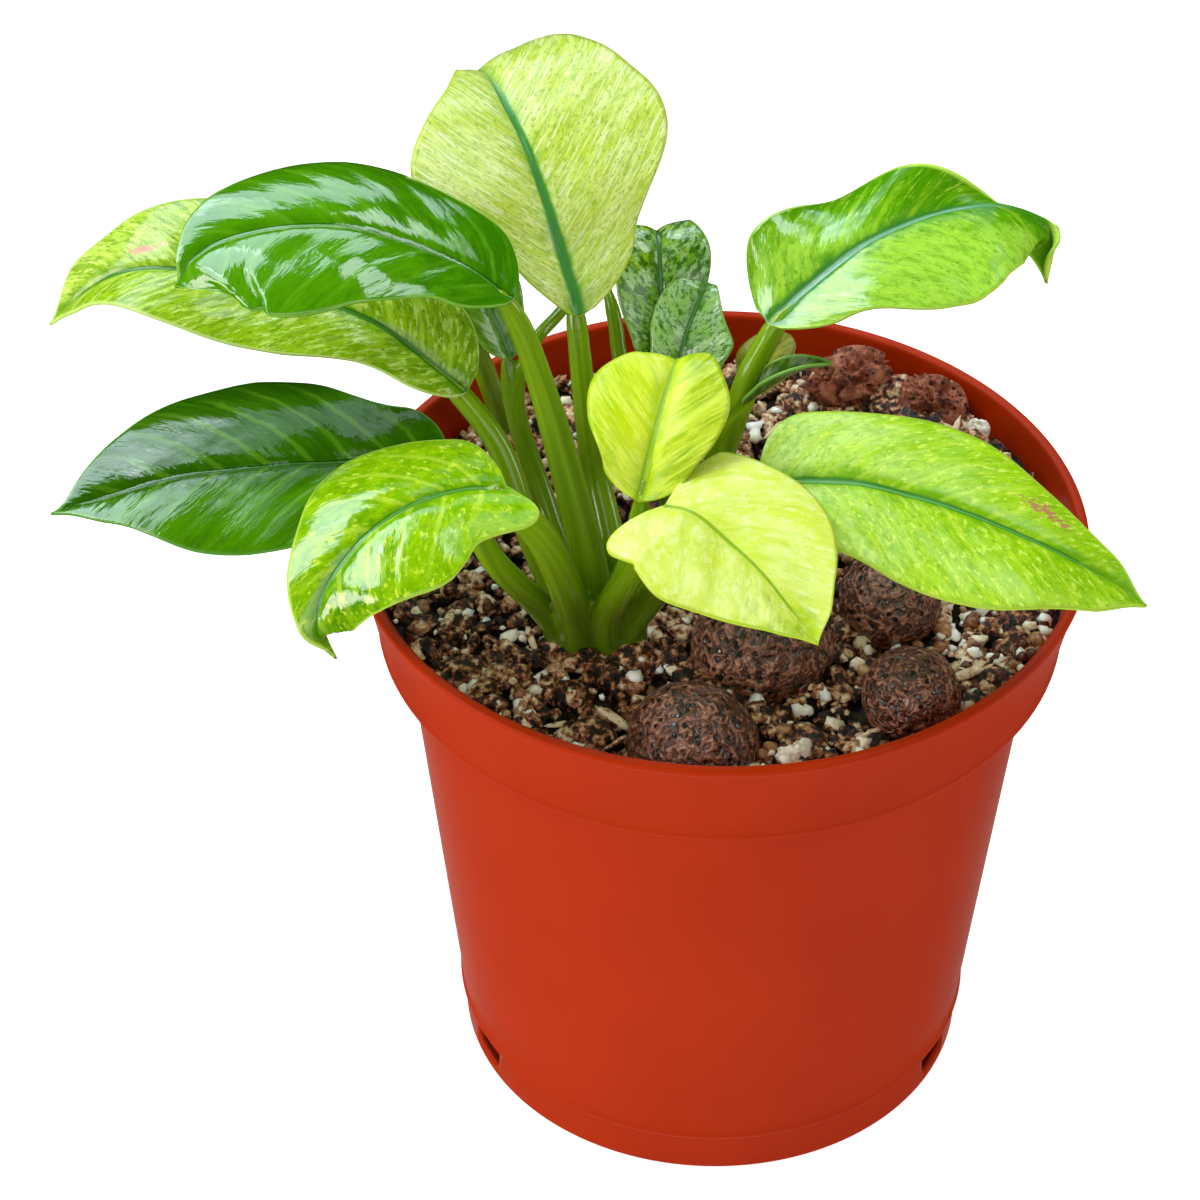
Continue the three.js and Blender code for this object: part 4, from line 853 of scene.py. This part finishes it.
hidden_skin = leaf_skin("leaf_skin_hidden", HIDDEN_LOOK, 40)
for index, (name, leaf) in enumerate(LEAVES.items()):
    look = LOOKS.get(name, HIDDEN_LOOK)
    skin = hidden_skin if look is HIDDEN_LOOK else leaf_skin("leaf_skin_" + name[5:], look, index)
    path, length = smooth_path(leaf["rib"], 200)
    small = length < 28
    bm = bmesh.new()
    bmesh.ops.create_grid(bm, x_segments=44 if small else 72, y_segments=24 if small else 44, size=1.0)
    veins = bm.verts.layers.float_vector.new("veins")
    place = bm.verts.layers.float_vector.new("place")
    for vert in bm.verts:
        s, v = min(1.0, max(0.0, (vert.co.x + 1) / 2)), vert.co.y
        if abs(v) < 1e-6:
            v = 0.0
        end_row = s < 1e-6 or s > 1 - 1e-6
        point, normal, width = blade_point(leaf, path, length, s, 0.0 if end_row else v)
        off_rib = abs(v) * width
        along = s * length
        side_way = along * math.sin(VEIN_LEAN) - off_rib * math.cos(VEIN_LEAN)
        vein_way = along * math.cos(VEIN_LEAN) + off_rib * math.sin(VEIN_LEAN)
        vert[veins] = (side_way, vein_way + (60 if v < 0 else 0), off_rib)
        vert[place] = (s, (1 - abs(v)) * width, v)
        fade = min(1.0, width / 4)
        groove = -0.35 * math.exp(-(off_rib / 0.8) ** 2)
        quilt = 0.12 * abs(math.sin(math.pi * side_way / VEIN_PITCH)) * min(1.0, off_rib / 3) * min(1.0, (1 - abs(v)) * 5)
        sway = 0.5 * noise.noise(Vector((along, off_rib * (1 if v > 0 else -1), index * 13)) / 9)
        vert.co = (point + normal * fade * (groove + quilt + sway)) * MM
    bmesh.ops.remove_doubles(bm, verts=bm.verts, dist=1e-7)
    blade = settle(bm, name + "_blade", skin)
    sheet = blade.modifiers.new("thickness", "SOLIDIFY")
    sheet.thickness = 0.5 * MM
    sheet.offset = 0.0
    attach(blade, "root")
    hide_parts(name)


# ---- Shoots ----
# Each shoot is a stout green root stock with fleshy petioles whose sheathed feet are grown
# together. The petioles are smooth and slightly ribbed, darker and browner at the foot.

SHOOTS = {
    "shoot_main": dict(root=((-17.5, -14, 69), (-17.5, -14, 88.5), 5.0, 1.45), petioles=[
        ("leaf_left_lower", (2, 1.5), [(-22, -15, 83), (-25, -17, 92), (-32, -22, 105.5), (-36.5, -21, 115.5)]),
        ("leaf_front_left", (2.7, 2), [(-20.5, -16, 82), (-20.5, -18, 91.5), (-24.5, -26, 112)]),
        ("leaf_left_long", (2, 1.6), [(-21, -13, 82), (-22.5, -13, 89), (-27.5, -10, 100.5), (-32, -4, 111.5)]),
        ("leaf_hidden_left", (1.8, 1.4), [(-20, -11, 82), (-20.5, -10, 88.5), (-25.5, 0, 97.5), (-30, 6, 109)]),
        ("leaf_hidden_tall", (1.1, 0.9),
         [(-30, 6, 109), (-29.8, 8.5, 115.5), (-27.5, 11, 120.2), (-24.7, 16, 120.8)]),
        ("leaf_left_upper", (2.8, 1.5), [(-17.5, -14, 82), (-19, -14, 99.5), (-23, -11, 117), (-27.5, -8, 132.5)]),
        ("leaf_back_tall", (2.3, 1.4), [(-15.5, -11, 82), (-15.5, -9, 95.5), (-18.5, -2, 106.5), (-20, 0, 117.5)]),
        ("leaf_centre", (2.3, 1.5), [(-14, -15, 82), (-14.5, -18, 95.5), (-12, -25, 110.5)]),
        ("leaf_front", (2.4, 1.5), [(-15, -16, 82), (-16, -19, 93.5), (-12, -26, 108)]),
        ("leaf_right_lower", (2.5, 1.6), [(-12.5, -14.5, 82), (-12.5, -17, 91), (-7.5, -18, 100), (-1, -18, 110)]),
    ]),
    "shoot_back": dict(root=((-4, 5.5, 69), (-4, 5.5, 89), 3.4, 1.1), petioles=[
        ("leaf_right_upper", (2.2, 1.6), [(-4, 6, 82), (-3, 6.5, 93), (1.5, 7, 109.5), (3.5, 8, 117)]),
        ("leaf_withered", (1, 0.9), [(1.4, 7, 109), (2.5, 7.3, 111.5)]),
        ("leaf_rolled", (1.1, 0.9), [(0, 6.8, 105), (1.3, 6.3, 109.5)]),
        ("leaf_inner_left", (1.7, 1.2), [(-5, 5.5, 82), (-6.5, 8, 98), (-8, 13, 107)]),
        ("leaf_inner_right", (1.6, 1.2), [(-4, 5.5, 82), (-5, 7, 99), (-6.5, 9, 108)]),
        ("leaf_hidden_mid", (1.4, 1.1), [(-5, 6.5, 82), (-10, 13, 97), (-15, 21, 106.5), (-16.6, 27, 112.3)]),
    ]),
    "shoot_far": dict(root=((-29.5, 27, 71), (-33, 31, 84), 2.2, 1.0), petioles=[
        ("leaf_hidden_far", (1.8, 1.5), [(-32.5, 30.3, 82), (-33.8, 31.8, 89), (-36.5, 29.5, 101)]),
    ]),
}

petiole_skin, tree, shader = fresh_finish("fleshy_petiole")
stalk = put(tree, "ShaderNodeAttribute", attribute_name="stalk").outputs["Vector"]
parts = put(tree, "ShaderNodeSeparateXYZ", {0: stalk}).outputs
# Fibres run up the stalk: about 1 mm wide and 20 mm long.
where = put(tree, "ShaderNodeMapping", {0: stalk, "Scale": (1.0, 1 / 20, 0.0)})
fibres = put(tree, "ShaderNodeTexNoise", {"Vector": where.outputs[0], "Scale": 0.8, "Detail": 4.0})
flesh = put(tree, "ShaderNodeValToRGB", {"Fac": fibres.outputs["Fac"]},
            [(0.3, "#628a04"), (0.75, "#8eb018"), (0.5, "#769c08")])
# toward the foot, below about 100 mm high, the stalks turn darker, with a frayed border
foot_fray = put(tree, "ShaderNodeTexNoise", {"Vector": where.outputs[0], "Scale": 0.5, "Detail": 3.0})
foot = put(tree, "ShaderNodeMath", {0: foot_fray.outputs["Fac"], 1: 16.0, 2: parts["Z"]}, operation="MULTIPLY_ADD")
foot_mask = put(tree, "ShaderNodeMapRange", {"Value": foot.outputs[0], "From Min": 97.0, "From Max": 108.0,
                                             "To Min": 0.75, "To Max": 0.0})
stem_tone = put(tree, "ShaderNodeMix", {0: foot_mask.outputs[0], 6: flesh.outputs["Color"], 7: tone("#567c0c")},
                data_type="RGBA")
tree.links.new(stem_tone.outputs[2], shader.inputs["Base Color"])
relief = put(tree, "ShaderNodeBump", {"Height": fibres.outputs["Fac"], "Strength": 0.12, "Distance": 0.25 * MM})
tree.links.new(relief.outputs["Normal"], shader.inputs["Normal"])
shader.inputs["Roughness"].default_value = 0.16
shader.inputs["Specular IOR Level"].default_value = 0.7
shader.inputs["Subsurface Weight"].default_value = 0.1
shader.inputs["Subsurface Radius"].default_value = (0.8, 1.0, 0.3)
shader.inputs["Subsurface Scale"].default_value = 0.8 * MM


def add_stalk(bm, points, radii, widen=1.0, end=1.0):
    """Adds a tapering round stalk with domed ends, the last tenth narrowing by end; returns its middle line."""
    path, length = smooth_path(points, 40)
    made = bmesh.ops.create_grid(bm, x_segments=44, y_segments=16, size=1.0)["verts"]
    reference = Vector((1, 0, 0))
    for vert in made:
        row = (vert.co.x + 1) / 2 * 44 - 2
        angle = math.pi * vert.co.y
        s = min(1.0, max(0.0, row / 40))
        middle, along = rib_frame(path, length, s)
        side = (reference - along * reference.dot(along)).normalized()
        radius = radii[0] + (radii[1] - radii[0]) * s
        radius *= 1 - (1 - end) * max(0.0, s - 0.86) / 0.14
        over = min(abs(row), abs(row - 40)) / 2 if row < 0 or row > 40 else 0.0
        radius_here = radius * math.sqrt(max(0.0, 1 - over ** 2))
        middle = middle + along * (radius * 0.3 * over * (1 if row > 40 else -1))
        ring = side * math.cos(angle) * widen + along.cross(side) * math.sin(angle)
        vert.co = (middle + ring * radius_here) * MM
    bmesh.ops.remove_doubles(bm, verts=made, dist=1e-7)
    return path


for name, shoot in SHOOTS.items():
    bm = bmesh.new()
    foot, top, radius, widen = shoot["root"]
    paths = [add_stalk(bm, [foot, tuple(Vector(foot).lerp(Vector(top), 0.6)), top], (radius, radius * 0.92), widen)]
    for leaf_name, radii, points in shoot["petioles"]:
        leaf = LEAVES[leaf_name]
        rib, rib_length = smooth_path(leaf["rib"], 200)
        stout = (radii[0] * (1.12 if points[0][2] < 84 else 1.0), radii[1])
        under = []
        for reach, sink in ((0.02, 0.75), (0.09, 0.5), (0.18, 0.2)):
            spot, normal, _ = blade_point(leaf, rib, rib_length, reach, 0.0)
            under.append(tuple(spot - normal * (sink * radii[1] + 0.25)))
        paths.append(add_stalk(bm, points + under, stout, end=0.35))
    bmesh.ops.recalc_face_normals(bm, faces=bm.faces)
    stock = settle(bm, name + "_stalks", petiole_skin)
    fuse = stock.modifiers.new("fuse", "REMESH")
    fuse.mode = "VOXEL"
    fuse.voxel_size = 0.4 * MM
    soften = stock.modifiers.new("soften", "SMOOTH")
    soften.factor = 0.5
    soften.iterations = 5
    baked(stock)
    tree_of_places = kdtree.KDTree(sum(len(path) for path in paths))
    known = []
    for number, path in enumerate(paths):
        for step, spot in enumerate(path):
            ahead = path[min(step + 1, len(path) - 1)] - path[max(step - 1, 0)]
            tree_of_places.insert(spot * MM, len(known))
            known.append((number, step, spot, ahead.normalized()))
    tree_of_places.balance()
    layer = stock.data.attributes.new("stalk", "FLOAT_VECTOR", "POINT")
    for i, vert in enumerate(stock.data.vertices):
        number, step, spot, ahead = known[tree_of_places.find(vert.co)[1]]
        side = (Vector((1, 0, 0)) - ahead * ahead.x).normalized()
        away = vert.co / MM - spot
        angle = math.atan2(away.dot(ahead.cross(side)), away.dot(side))
        layer.data[i].vector = (2.5 * math.cos(angle) + 9 * number, 2.5 * math.sin(angle) * 20 + step, vert.co.z / MM)
    for face in stock.data.polygons:
        face.use_smooth = True
    stock.data.materials.clear()
    stock.data.materials.append(petiole_skin)
    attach(stock, "root")
    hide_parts(name)
